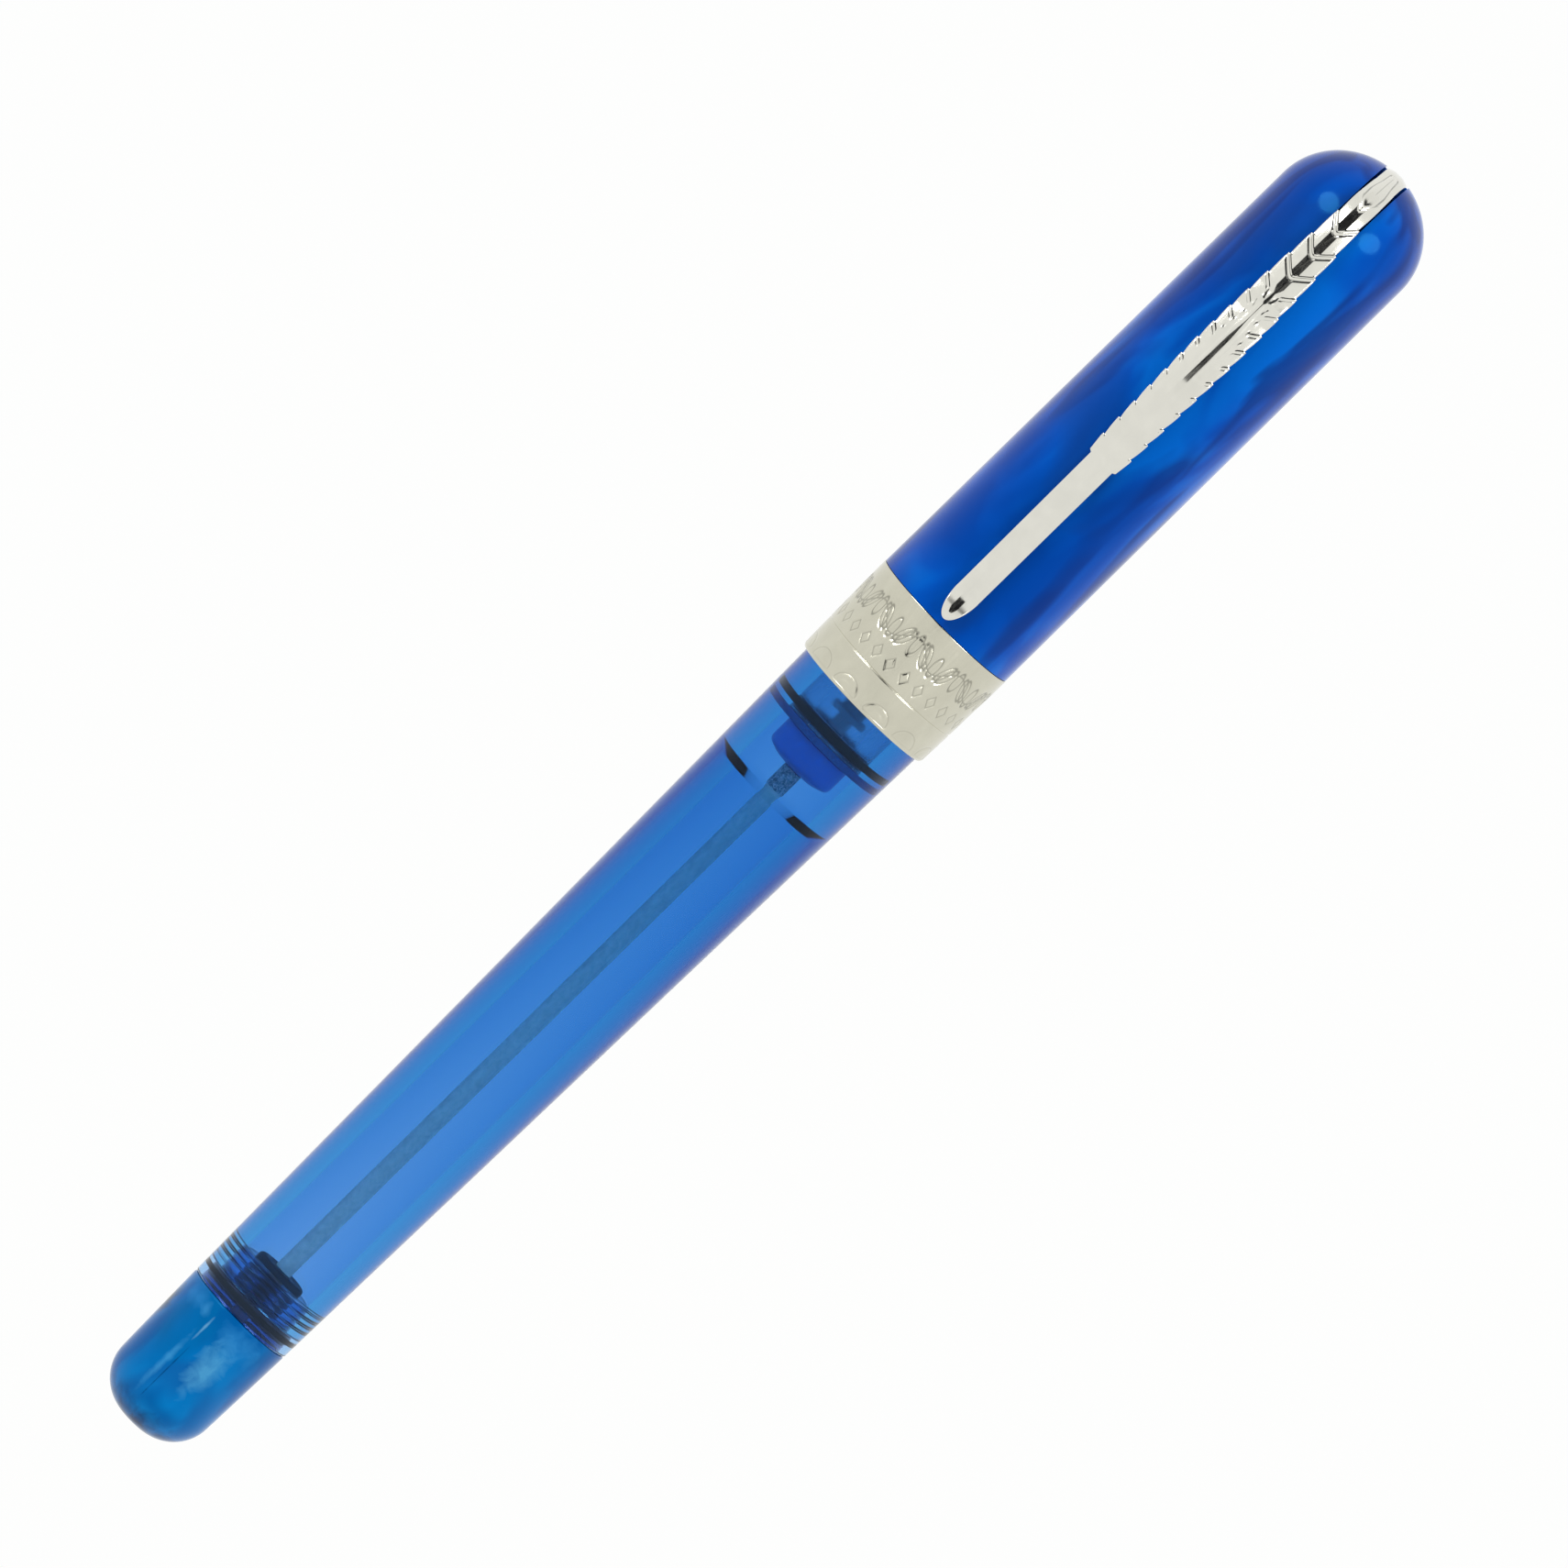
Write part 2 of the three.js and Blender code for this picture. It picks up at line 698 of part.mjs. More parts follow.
// The strip: one five-sided section at each place, highest along its middle.
function clipStrip() {
  const corners = [];
  const places = clipPlaces();
  for (const { u, half } of places) {
    const { point, normal } = capTop(u);
    const lift = along(LIFT, u);
    const thickness = along(THICKNESS, u);
    const crown = Math.min(0.25, thickness * 0.3);
    const section = [
      [-half, lift - thickness],
      [half, lift - thickness],
      [half, lift - crown],
      [0, lift],
      [-half, lift - crown],
    ];
    for (const [y, height] of section) {
      corners.push(point.x + normal.x * height, y, point.y + normal.y * height);
    }
  }
  const sides = 5;
  const faces = [];
  for (let i = 0; i + 1 < places.length; i += 1) {
    for (let j = 0; j < sides; j += 1) {
      const a = i * sides + j;
      const b = i * sides + (j + 1) % sides;
      faces.push(a, b, b + sides, a, b + sides, a + sides);
    }
  }
  const last = (places.length - 1) * sides;
  for (let j = 1; j + 1 < sides; j += 1) {
    faces.push(0, j + 1, j);
    faces.push(last, last + j, last + j + 1);
  }
  const geometry = new THREE.BufferGeometry();
  geometry.setAttribute('position', new THREE.Float32BufferAttribute(corners, 3));
  geometry.setIndex(faces);
  geometry.computeVertexNormals();
  return geometry;
}

// The spring's place, and the height of the shelf that it pushes up.
const SPRING_X = 67.6;
const SHELF = 4.6;

// The strip and the lug under it: a plate with an eye for the pin and a shelf over the spring.
function clip() {
  const halfThickness = 0.85;
  const eye = 1.15;
  const chamfer = 0.6;
  const underStrip = 6.9;
  const shelfEnd = SPRING_X + 0.7;
  const lug = toSolid(plate([
    [PIVOT_X - eye, underStrip],
    [PIVOT_X - eye, PIVOT_Z - eye + chamfer],
    [PIVOT_X - eye + chamfer, PIVOT_Z - eye],
    [PIVOT_X + eye - chamfer, PIVOT_Z - eye],
    [PIVOT_X + eye, PIVOT_Z - eye + chamfer],
    [PIVOT_X + eye, SHELF],
    [shelfEnd, SHELF],
    [shelfEnd, SHELF + 1],
    [shelfEnd - 1.7, SHELF + 2],
  ], halfThickness));
  const hole = toSolid(crossBar(PIVOT_X, PIVOT_Z, PIN_RADIUS + RUNNING, halfThickness + 1, 16));
  return toGeometry(toSolid(clipStrip()).add(lug).subtract(hole));
}

function clipPin() {
  return crossBar(PIVOT_X, PIVOT_Z, PIN_RADIUS, PIN_HALF_LENGTH, 16);
}

// A small coil spring that stands in the pocket under the lug's shelf.
class Helix extends THREE.Curve {
  constructor(radius, height, turns) {
    super();
    this.radius = radius;
    this.height = height;
    this.turns = turns;
  }

  getPoint(t, target = new THREE.Vector3()) {
    const angle = 2 * Math.PI * this.turns * t;
    return target.set(this.radius * Math.cos(angle), this.radius * Math.sin(angle), this.height * t);
  }
}

function clipSpring() {
  const wire = 0.16;
  const coil = 0.7;
  const bottom = POCKET_FLOOR + wire + FIT;
  const top = SHELF - 0.35 - wire;
  const turns = 5;
  const section = new THREE.Shape();
  section.absarc(0, 0, wire, 0, 2 * Math.PI);
  const geometry = new THREE.ExtrudeGeometry(section, {
    steps: 12 * turns,
    curveSegments: 3,
    extrudePath: new Helix(coil, top - bottom, turns),
  });
  geometry.translate(SPRING_X, 0, bottom);
  return geometry;
}

// ---- Assembly ----
const pen = new THREE.Group();
pen.position.z = AXIS_HEIGHT;

const barrelGroup = new THREE.Group();
barrelGroup.add(
  piece('barrel', barrel(), 'clearBlue'),
  piece('gland_bush', glandBush(), 'clearBlue'),
  piece('gland_seal', glandSeal(), 'blackRubber'),
  piece('tail_o_ring', tailORing(), 'blackRubber'),
);

const sectionGroup = new THREE.Group();
sectionGroup.add(
  piece('grip_section', gripSection(), 'paleClear'),
  piece('section_o_ring', sectionORing(), 'blackRubber'),
  piece('chamber_gasket', chamberGasket(), 'navyRubber'),
  piece('closure_ring', closureRing(), 'steel'),
  piece('ink_feed', inkFeed(), 'smokePlastic'),
  piece('feed_wick', feedWick(), 'fibre'),
  piece('nose_cone', noseCone(), 'silver'),
  piece('tip_tube', tipTube(), 'steel'),
  piece('writing_ball', writingBall(), 'carbide'),
);

const plungerGroup = new THREE.Group();
plungerGroup.add(
  piece('plunger_rod', plungerRod(), 'rodGrey'),
  piece('rod_ferrule', rodFerrule(), 'ferruleGrey'),
  piece('plunger_head', plungerHead(), 'solidBlue'),
  piece('plunger_seal', plungerSeal(), 'navyRubber'),
  piece('filler_knob', fillerKnob(), 'marbledTurquoise'),
  piece('knob_collet', knobCollet(), 'brass'),
);

const capGroup = new THREE.Group();
capGroup.add(
  piece('cap_shell', capShell(), 'marbledBlue'),
  piece('cap_band', capBand(), 'silver'),
  piece('inner_cap', innerCap(), 'milkyPlastic'),
  piece('cap_magnet', capMagnet(), 'magnet'),
  piece('clip', clip(), 'silver'),
  piece('clip_pin', clipPin(), 'steel'),
  piece('clip_spring', clipSpring(), 'steel'),
);

pen.add(barrelGroup, sectionGroup, plungerGroup, capGroup);

export default pen;
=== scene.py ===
"""Looks of a capped gel pen with a clear barrel: smooth turned pieces, an engraved band and a quill clip.

Every length is in metres, in the CAD frame: the pen lies along X, cap at +X, clip on top, floor at z = 0.
"""
import json
import math

import bmesh
import bpy
import numpy as np
from mathutils import Matrix, Vector


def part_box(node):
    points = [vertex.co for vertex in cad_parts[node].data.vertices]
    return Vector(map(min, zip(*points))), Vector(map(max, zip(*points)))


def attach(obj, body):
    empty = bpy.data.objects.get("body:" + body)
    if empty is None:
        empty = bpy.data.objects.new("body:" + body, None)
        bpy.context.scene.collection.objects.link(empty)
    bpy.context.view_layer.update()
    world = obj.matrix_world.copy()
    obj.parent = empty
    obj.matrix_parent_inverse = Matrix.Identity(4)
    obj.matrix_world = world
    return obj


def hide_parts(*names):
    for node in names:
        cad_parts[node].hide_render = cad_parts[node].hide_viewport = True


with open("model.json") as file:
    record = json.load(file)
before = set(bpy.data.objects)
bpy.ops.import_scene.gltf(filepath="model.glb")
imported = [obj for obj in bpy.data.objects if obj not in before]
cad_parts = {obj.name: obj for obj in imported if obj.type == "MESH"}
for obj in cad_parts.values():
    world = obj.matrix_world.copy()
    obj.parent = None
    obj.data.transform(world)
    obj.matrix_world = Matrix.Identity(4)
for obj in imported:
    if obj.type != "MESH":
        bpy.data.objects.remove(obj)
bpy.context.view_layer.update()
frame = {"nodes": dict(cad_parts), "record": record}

MM = 0.001
MERGE = 2e-6
RIDGE = 0.35 * MM
SHARP = math.radians(28)
STRAIGHT = math.radians(1)


def middle(node):
    """The middle of a CAD node's box."""
    low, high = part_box(node)
    return (low + high) / 2


AXIS = middle("barrel").z


# ---- Turned pieces ----


def outline(node):
    """A turned CAD node's outline below its axis: ordered (x, radius) points, and whether it is a ring."""
    mesh = bmesh.new()
    mesh.from_mesh(frame["nodes"][node].data)
    bmesh.ops.remove_doubles(mesh, verts=mesh.verts, dist=MERGE)
    flat = {v for v in mesh.verts if abs(v.co.y) < MERGE and v.co.z < AXIS + MERGE}
    links = {v: [e.other_vert(v) for e in v.link_edges if e.other_vert(v) in flat] for v in flat}
    ends = [v for v in flat if len(links[v]) == 1]
    start = min(ends or flat, key=lambda v: (v.co.x, v.co.z))
    walk = [start]
    step = links[start][0]
    while step is not start:
        walk.append(step)
        onward = [v for v in links[step] if v is not walk[-2]]
        if not onward:
            break
        step = onward[0]
    points = [(v.co.x, max(AXIS - v.co.z, 0)) for v in walk]
    mesh.free()
    return points, not ends


def rounded_corner(before, corner, after, size):
    """A small round at a corner, with a point on each side that keeps the flats flat."""
    into = corner - before
    out = after - corner
    size = min(size, 0.3 * into.length, 0.3 * out.length)
    first = corner - into.normalized() * size
    last = corner + out.normalized() * size
    points = [corner - into.normalized() * size * 1.6]
    for t in (0, 0.25, 0.5, 0.75, 1):
        points.append((1 - t) ** 2 * first + 2 * t * (1 - t) * corner + t * t * last)
    points.append(corner + out.normalized() * size * 1.6)
    return points


def refine(points, ring, corner_size=0.05 * MM, curve_steps=4):
    """Rounds the sharp corners of an outline, and curves the runs that turn gently."""
    path = [Vector(p) for p in points]
    count = len(path)

    def turn_at(i):
        if not ring and i in (0, count - 1):
            return math.pi
        into = path[i] - path[i - 1]
        return into.angle(path[(i + 1) % count] - path[i])

    turns = [turn_at(i) for i in range(count)]
    gentle = [STRAIGHT < t < SHARP for t in turns]
    fine = []
    for i, point in enumerate(path):
        before = path[i - 1]
        after = path[(i + 1) % count]
        is_end = not ring and i in (0, count - 1)
        if is_end or turns[i] < SHARP:
            fine.append(point)
        else:
            fine.extend(rounded_corner(before, point, after, corner_size))
        if not ring and i == count - 1:
            break
        j = (i + 1) % count
        if gentle[i] or gentle[j]:
            span = after - point
            beyond = path[(j + 1) % count]
            leave = (after - before).normalized() * span.length if gentle[i] else span
            arrive = (beyond - point).normalized() * span.length if gentle[j] else span
            for k in range(1, curve_steps):
                t = k / curve_steps
                fine.append(
                    (2 * t ** 3 - 3 * t ** 2 + 1) * point
                    + (t ** 3 - 2 * t ** 2 + t) * leave
                    + (3 * t ** 2 - 2 * t ** 3) * after
                    + (t ** 3 - t ** 2) * arrive
                )
    return [(p.x, p.y) for p in fine]


def spaced(points, low, high, step, above=0.0):
    """The outline with extra points, at most step apart, where its runs cross low <= x <= high.

    Runs that lie nearer the axis than above are left as they are.
    """
    fine = []
    for i, (x0, r0) in enumerate(points):
        fine.append((x0, r0))
        x1, r1 = points[(i + 1) % len(points)]
        first = max(min(x0, x1), low)
        last = min(max(x0, x1), high)
        if last - first < MERGE or max(r0, r1) < above:
            continue
        count = math.ceil((last - first) / step)
        places = [first + (last - first) * k / count for k in range(count + 1)]
        for x in places if x1 > x0 else reversed(places):
            if min(abs(x - x0), abs(x - x1)) > MERGE:
                fine.append((x, r0 + (r1 - r0) * (x - x0) / (x1 - x0)))
    return fine


def solid(name, corners, faces):
    """A smooth-shaded mesh object with its faces pointing out."""
    mesh = bpy.data.meshes.new(name)
    mesh.from_pydata(corners, [], faces)
    work = bmesh.new()
    work.from_mesh(mesh)
    bmesh.ops.recalc_face_normals(work, faces=work.faces)
    work.to_mesh(mesh)
    work.free()
    mesh.polygons.foreach_set("use_smooth", [True] * len(mesh.polygons))
    piece = bpy.data.objects.new(name, mesh)
    bpy.context.scene.collection.objects.link(piece)
    return piece


def turned(name, points, ring, segments=144, shape=None):
    """A solid turned about the pen's axis. shape(x, radius, angles) may return its own radii."""
    angles = np.arange(segments) * 2 * math.pi / segments
    corners = []
    rows = []
    for x, radius in points:
        first = len(corners)
        if radius < MERGE:
            corners.append((x, 0, AXIS))
            rows.append([first] * segments)
            continue
        radii = shape(x, radius, angles) if shape else np.full(segments, radius)
        y = radii * np.cos(angles)
        z = AXIS + radii * np.sin(angles)
        corners.extend((x, float(b), float(c)) for b, c in zip(y, z))
        rows.append(list(range(first, first + segments)))
    faces = []
    pairs = len(rows) if ring else len(rows) - 1
    for i in range(pairs):
        lower = rows[i]
        upper = rows[(i + 1) % len(rows)]
        for j in range(segments):
            k = (j + 1) % segments
            face = [lower[j], lower[k], upper[k], upper[j]]
            faces.append(list(dict.fromkeys(face)))
    faces = [face for face in faces if len(face) > 2]
    return solid(name, corners, faces)


def place(piece, node, material):
    """The piece stands for a CAD node: it rides on its body and takes its slot."""
    piece.data.materials.clear()
    piece.data.materials.append(material)
    body = next(b for b, nodes in frame["record"]["behaviour"]["bodies"].items() if node in nodes)
    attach(piece, body)
    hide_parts(node)
    return piece


def smooth_copy(node, material, segments=144, corner_size=0.05 * MM, shape=None, fine=None, threads=()):
    """A smooth, rounded copy of a turned CAD node, with real helical threads where it has ridges."""
    points, ring = outline(node)
    for start, end, crest, *_ in threads:
        points = [(x, crest) if start < x < end and abs(r - crest) < RIDGE else (x, r) for x, r in points]
    low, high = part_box(node)
    points = [(min(max(x, low.x), high.x), radius) for x, radius in refine(points, ring, corner_size)]
    if fine:
        points = spaced(points, *fine)
    for start, end, _, _, pitch, _ in threads:
        points = spaced(points, start, end, pitch / 16)
    if threads:
        shape = wound(threads)
    return place(turned(node + "_smooth", points, ring, segments, shape), node, material)


def wound(threads):
    """Winds V-shaped cuts into a surface: each is (start, end, radius, depth, pitch, part cut)."""

    def wind(x, radius, angles):
        for start, end, crest, depth, pitch, part in threads:
            if start < x < end and abs(radius - crest) < 0.02 * MM:
                fade = float(smooth_step(start, start + pitch / 2, x) * smooth_step(end, end - pitch / 2, x))
                phase = x / pitch - angles / (2 * math.pi)
                wave = np.abs(2 * (phase - np.floor(phase)) - 1)
                return radius - depth * fade * np.clip(1 - wave / part, 0, 1)
        return np.full(len(angles), radius)

    return wind


# ---- Materials ----


class Look:
    """A procedural material: a Principled shader, and short calls that add nodes to it."""

    def __init__(self, name, **sockets):
        self.material = bpy.data.materials.new(name)
        self.material.use_nodes = True
        self.tree = self.material.node_tree
        self.shader = self.tree.nodes["Principled BSDF"]
        for socket, value in sockets.items():
            self.shader.inputs[socket.replace("_", " ")].default_value = value
        self.coordinates = self.tree.nodes.new("ShaderNodeTexCoord").outputs["Object"]

    def node(self, kind, values=(), **settings):
        """A new node: values sets its inputs by name or joins them, settings its properties."""
        made = self.tree.nodes.new("ShaderNode" + kind)
        for name, value in settings.items():
            setattr(made, name, value)
        for name, value in dict(values).items():
            if isinstance(value, bpy.types.NodeSocket):
                self.tree.links.new(value, made.inputs[name])
            else:
                made.inputs[name].default_value = value
        return made

    def place(self, stretch=(1, 1, 1), turn=(0, 0, 0), shift=(0, 0, 0)):
        """Object coordinates in millimetres, stretched and turned."""
        scale = [s / MM for s in stretch]
        values = {"Vector": self.coordinates, "Scale": scale, "Rotation": turn, "Location": shift}
        return self.node("Mapping", values).outputs["Vector"]

    def noise(self, scale, detail=3.0, distortion=0.0, roughness=0.5, vector=None):
        values = {
            "Vector": vector or self.place(),
            "Scale": scale,
            "Detail": detail,
            "Distortion": distortion,
            "Roughness": roughness,
        }
        return self.node("TexNoise", values).outputs["Fac"]

    def ramp(self, factor, *stops):
        """A colour ramp through (position, colour) stops."""
        made = self.node("ValToRGB", {"Fac": factor})
        ramp = made.color_ramp
        while len(ramp.elements) < len(stops):
            ramp.elements.new(0.5)
        for element, (position, colour) in zip(ramp.elements, stops):
            element.position = position
            element.color = (*colour, 1)
        return made.outputs["Color"]

    def span(self, value, low, high, to_low=0.0, to_high=1.0):
        values = {"Value": value, "From Min": low, "From Max": high, "To Min": to_low, "To Max": to_high}
        return self.node("MapRange", values).outputs["Result"]

    def math(self, operation, first, second=0.0):
        made = self.node("Math", operation=operation)
        for i, value in enumerate((first, second)):
            if isinstance(value, bpy.types.NodeSocket):
                self.tree.links.new(value, made.inputs[i])
            else:
                made.inputs[i].default_value = value
        return made.outputs[0]

    def spot(self, centre, size, strength):
        """A soft, ragged patch round a place: centre and size are in millimetres."""
        stretch = [1 / part for part in size]
        away = [-at / part for at, part in zip(centre, size)]
        local = self.node("Mapping", {"Vector": self.coordinates, "Scale": [s / MM for s in stretch]})
        local.inputs["Location"].default_value = away
        distance = self.node("VectorMath", {0: local.outputs[0]}, operation="LENGTH").outputs["Value"]
        ragged = self.span(self.noise(0.8, 5.0, 0.6), 0.3, 0.7, -0.35, 0.35)
        return self.span(self.math("ADD", distance, ragged), 0.1, 1.2, strength, 0.0)

    def mix(self, factor, first, second):
        made = self.node("Mix", data_type="RGBA")
        for socket, value in zip((made.inputs[0], made.inputs[6], made.inputs[7]), (factor, first, second)):
            if isinstance(value, bpy.types.NodeSocket):
                self.tree.links.new(value, socket)
            else:
                socket.default_value = value if socket is made.inputs[0] else (*value, 1)
        return made.outputs[2]

    def bump(self, height, distance, strength=1.0):
        made = self.node("Bump", {"Height": height, "Distance": distance, "Strength": strength})
        self.join(made.outputs["Normal"], "Normal")

    def join(self, output, socket):
        self.tree.links.new(output, self.shader.inputs[socket])


def srgb(red, green, blue):
    """A colour given as 0 to 255 on a screen, as linear light."""
    parts = [c / 255 for c in (red, green, blue)]
    return tuple(c / 12.92 if c <= 0.04045 else ((c + 0.055) / 1.055) ** 2.4 for c in parts)


def clear_resin(name, tint, loss, roughness=0.006):
    """Polished clear resin: a tint for each pair of surfaces, and what each millimetre absorbs."""
    look = Look(name, Transmission_Weight=1.0, IOR=1.49, Specular_Tint=(0.32, 0.48, 0.8, 1))
    look.shader.inputs["Base Color"].default_value = (*tint, 1)
    absorb = look.node("VolumeAbsorption", {"Density": max(loss) / MM})
    absorb.inputs["Color"].default_value = (*(1 - part / max(loss) for part in loss), 1)
    look.tree.links.new(absorb.outputs[0], look.tree.nodes["Material Output"].inputs["Volume"])
    hairlines = look.noise(1.0, 4.0, 1.5, vector=look.place((0.35, 3.0, 3.0), (0.3, 0.2, 0.5)))
    look.join(look.span(hairlines, 0.55, 0.8, roughness, 1.5 * roughness), "Roughness")
    return look.material


def marbled_resin(name, deep, mid, light, streak, marks=()):
    """Polished resin with broad soft clouds and a few long, slanting dark streaks."""
    look = Look(name, Specular_Tint=(0.05, 0.45, 0.8, 1), Specular_IOR_Level=0.32)
    broad = look.noise(0.16, 2.5, 0.6, vector=look.place((0.45, 1.0, 1.0), (0.1, 0.2, 0.2)))
    colour = look.ramp(broad, (0.38, deep), (0.5, mid), (0.62, light))
    folds = look.noise(0.2, 2.0, 0.9, vector=look.place((0.22, 1.0, 1.0), (0.15, 0.1, -0.12), (4, 2, 9)))
    colour = look.mix(look.span(folds, 0.54, 0.62, 0.0, 0.7), colour, streak)
    smoke = look.noise(0.16, 2.0, 0.5, vector=look.place((0.5, 1.0, 1.0), (0.3, 0.1, 0.3), (1, 8, 5)))
    colour = look.mix(look.span(smoke, 0.56, 0.7, 0.0, 0.4), colour, srgb(16, 46, 112))
    # Spots mixed into the colour; the knob's last one is painted shade on its far end.
    for centre, size, tint, strength in marks:
        colour = look.mix(look.spot(centre, size, strength), colour, tint)
    look.join(colour, "Base Color")
    look.join(look.span(look.noise(0.4, 3.0), 0.3, 0.7, 0.12, 0.17), "Roughness")
    return look.material


def polished_metal(name, colour, roughness=0.12, cut_darkening=0.0):
    """Bright plating with a slightly uneven polish, fine scratches, and a darker colour along its cuts,
    which on the clip's leaf is painted shade.
    """
    look = Look(name, Metallic=1.0)
    tone = look.noise(0.5, 5.0, 0.5)
    darker = tuple(0.95 * c for c in colour)
    shade = look.ramp(tone, (0.35, darker), (0.65, colour))
    # Darkens the colour where the 'cut' attribute is high: in the band's engraved grooves, and as painted
    # shade along the clip leaf's outline, end and vein.
    if cut_darkening:
        cut = look.node("Attribute", attribute_name="cut").outputs["Fac"]
        dark = tuple(0.3 * c for c in colour)
        shade = look.mix(look.span(cut, 0.35, 1.0, 0.0, cut_darkening), shade, dark)
    look.join(shade, "Base Color")
    scratches = look.noise(1.0, 3.0, 1.0, vector=look.place((0.5, 5.0, 5.0), (0.4, 0.1, 0.3)))
    look.join(look.span(scratches, 0.35, 0.7, roughness * 0.8, roughness * 1.4), "Roughness")
    look.bump(scratches, 0.001 * MM, 0.4)
    return look.material


def turned_metal(name, colour, roughness=0.25, metallic=1.0):
    """Metal with fine lathe marks round it."""
    look = Look(name, Metallic=metallic)
    marks = look.noise(1.0, 3.0, vector=look.place((18.0, 0.2, 0.2)))
    darker = tuple(0.85 * c for c in colour)
    look.join(look.ramp(marks, (0.3, darker), (0.7, colour)), "Base Color")
    look.join(look.span(marks, 0.3, 0.7, roughness * 0.7, roughness * 1.3), "Roughness")
    look.bump(marks, 0.004 * MM)
    return look.material


def frosted_rod(name, colour):
    """A drawn rod with a mottled satin surface."""
    look = Look(name, Specular_IOR_Level=0.3)
    mottle = look.noise(2.5, 5.0, 0.5, vector=look.place((0.7, 1.0, 1.0)))
    look.join(look.ramp(mottle, (0.3, tuple(0.8 * c for c in colour)), (0.7, colour)), "Base Color")
    look.join(look.span(mottle, 0.3, 0.7, 0.35, 0.5), "Roughness")
    look.bump(mottle, 0.004 * MM)
    return look.material


def speckled(name, dark, light, roughness=0.5):
    """A worn dark surface with pale specks."""
    look = Look(name, Metallic=0.3)
    specks = look.noise(3.5, 6.0, 1.0, 0.7)
    look.join(look.ramp(specks, (0.42, dark), (0.6, light)), "Base Color")
    look.join(look.span(specks, 0.3, 0.7, roughness * 0.8, roughness * 1.2), "Roughness")
    look.bump(specks, 0.03 * MM)
    return look.material


def rubber(name, colour, grease=0.0):
    """Moulded rubber, with a few greasy patches."""
    look = Look(name, Specular_IOR_Level=0.25)
    grain = look.noise(6.0, 4.0)
    lighter = tuple(min(1, 1.6 * c + 0.01) for c in colour)
    look.join(look.ramp(grain, (0.35, colour), (0.75, lighter)), "Base Color")
    patches = look.noise(0.8, 3.0, 1.0)
    look.join(look.span(patches, 0.5, 0.65, 0.6, 0.6 - 0.4 * grease), "Roughness")
    look.bump(grain, 0.01 * MM)
    return look.material


def plastic(name, colour, roughness=0.4, subsurface=0.0):
    """Plain moulded plastic with a fine grain."""
    look = Look(name, Subsurface_Weight=subsurface)
    look.shader.inputs["Subsurface Radius"].default_value = (0.4 * MM, 0.5 * MM, 0.6 * MM)
    grain = look.noise(4.0, 4.0)
    darker = tuple(0.9 * c for c in colour)
    look.join(look.ramp(grain, (0.3, darker), (0.7, colour)), "Base Color")
    look.join(look.span(grain, 0.3, 0.7, roughness * 0.85, roughness * 1.15), "Roughness")
    look.bump(grain, 0.004 * MM)
    return look.material


def fibre(name, colour):
    """Bonded fibres drawn along the pen."""
    look = Look(name, Roughness=0.9)
    strands = look.noise(1.0, 4.0, vector=look.place((0.6, 9.0, 9.0)))
    look.join(look.ramp(strands, (0.3, tuple(0.7 * c for c in colour)), (0.7, colour)), "Base Color")
    look.bump(strands, 0.03 * MM)
    return look.material


# Spots on the knob: centre and size in mm, colour and strength. The last is painted shade, not a mark.
KNOB_MARKS_AND_SHADE = (
    ((-66.2, 0.75, 11.7), (2.6, 0.07, 1.5), srgb(0, 46, 92), 0.9),
    ((-65.5, 1.4, 11.6), (3.0, 0.3, 1.5), srgb(70, 150, 195), 0.4),
    ((-61.2, 1.0, 11.6), (1.2, 0.12, 1.5), srgb(110, 165, 195), 0.5),
    ((-60.0, 2.0, 11.4), (0.6, 0.5, 1.5), srgb(60, 135, 185), 0.4),
    ((-63.2, -1.5, 11.4), (2.6, 1.3, 2.0), srgb(70, 140, 180), 0.75),
    ((-60.2, -1.9, 11.2), (1.3, 2.0, 2.0), srgb(40, 118, 176), 0.6),
    ((-59.9, 3.2, 10.6), (0.9, 1.3, 2.0), srgb(40, 116, 176), 0.55),
    ((-61.8, 4.7, 7.6), (1.5, 0.6, 1.6), srgb(44, 42, 36), 1.0),
    # painted shade: the knob's far end darkened to dark navy
    ((-71.6, 0.0, 8.0), (2.6, 6.0, 6.0), srgb(0, 26, 70), 1.0),
)

CLEAR = clear_resin("clear_blue_resin", (1.0, 0.8, 1.0), (0.8, 0.271, 0.105))
PALE = clear_resin("pale_clear_resin", (0.93, 0.95, 0.97), (0.04, 0.02, 0.01), 0.22)
CAP_BLUE = marbled_resin(
    "marbled_blue_resin", srgb(0, 52, 138), srgb(0, 64, 156), srgb(0, 84, 176), srgb(6, 30, 100)
)
KNOB_BLUE = marbled_resin(
    "marbled_turquoise_resin", srgb(0, 84, 142), srgb(0, 92, 156), srgb(4, 102, 166), srgb(0, 70, 134),
    KNOB_MARKS_AND_SHADE,
)
BRIGHT = polished_metal("bright_plating", (0.765, 0.755, 0.69), cut_darkening=0.75)
BAND_METAL = polished_metal("band_plating", (0.62, 0.605, 0.5), 0.16, 0.7)
STEEL = turned_metal("turned_steel", (0.62, 0.63, 0.64))
CARBIDE = turned_metal("carbide", (0.42, 0.43, 0.45), 0.15)
BRASS = turned_metal("turned_brass", (0.62, 0.42, 0.14), 0.3)
MAGNET = polished_metal("magnet_plating", (0.5, 0.51, 0.52), 0.25)
ROD = frosted_rod("frosted_rod", (1.0, 0.9, 0.7))
FERRULE = speckled("worn_ferrule", (0.08, 0.09, 0.1), (0.8, 0.75, 0.66))
SOLID_BLUE = plastic("solid_blue_plastic", (0.0, 0.24, 0.68), 0.35)
NAVY = rubber("navy_rubber", (0.0, 0.12, 0.3))
BLACK_RUBBER = rubber("black_rubber", (0.006, 0.005, 0.005), 0.4)
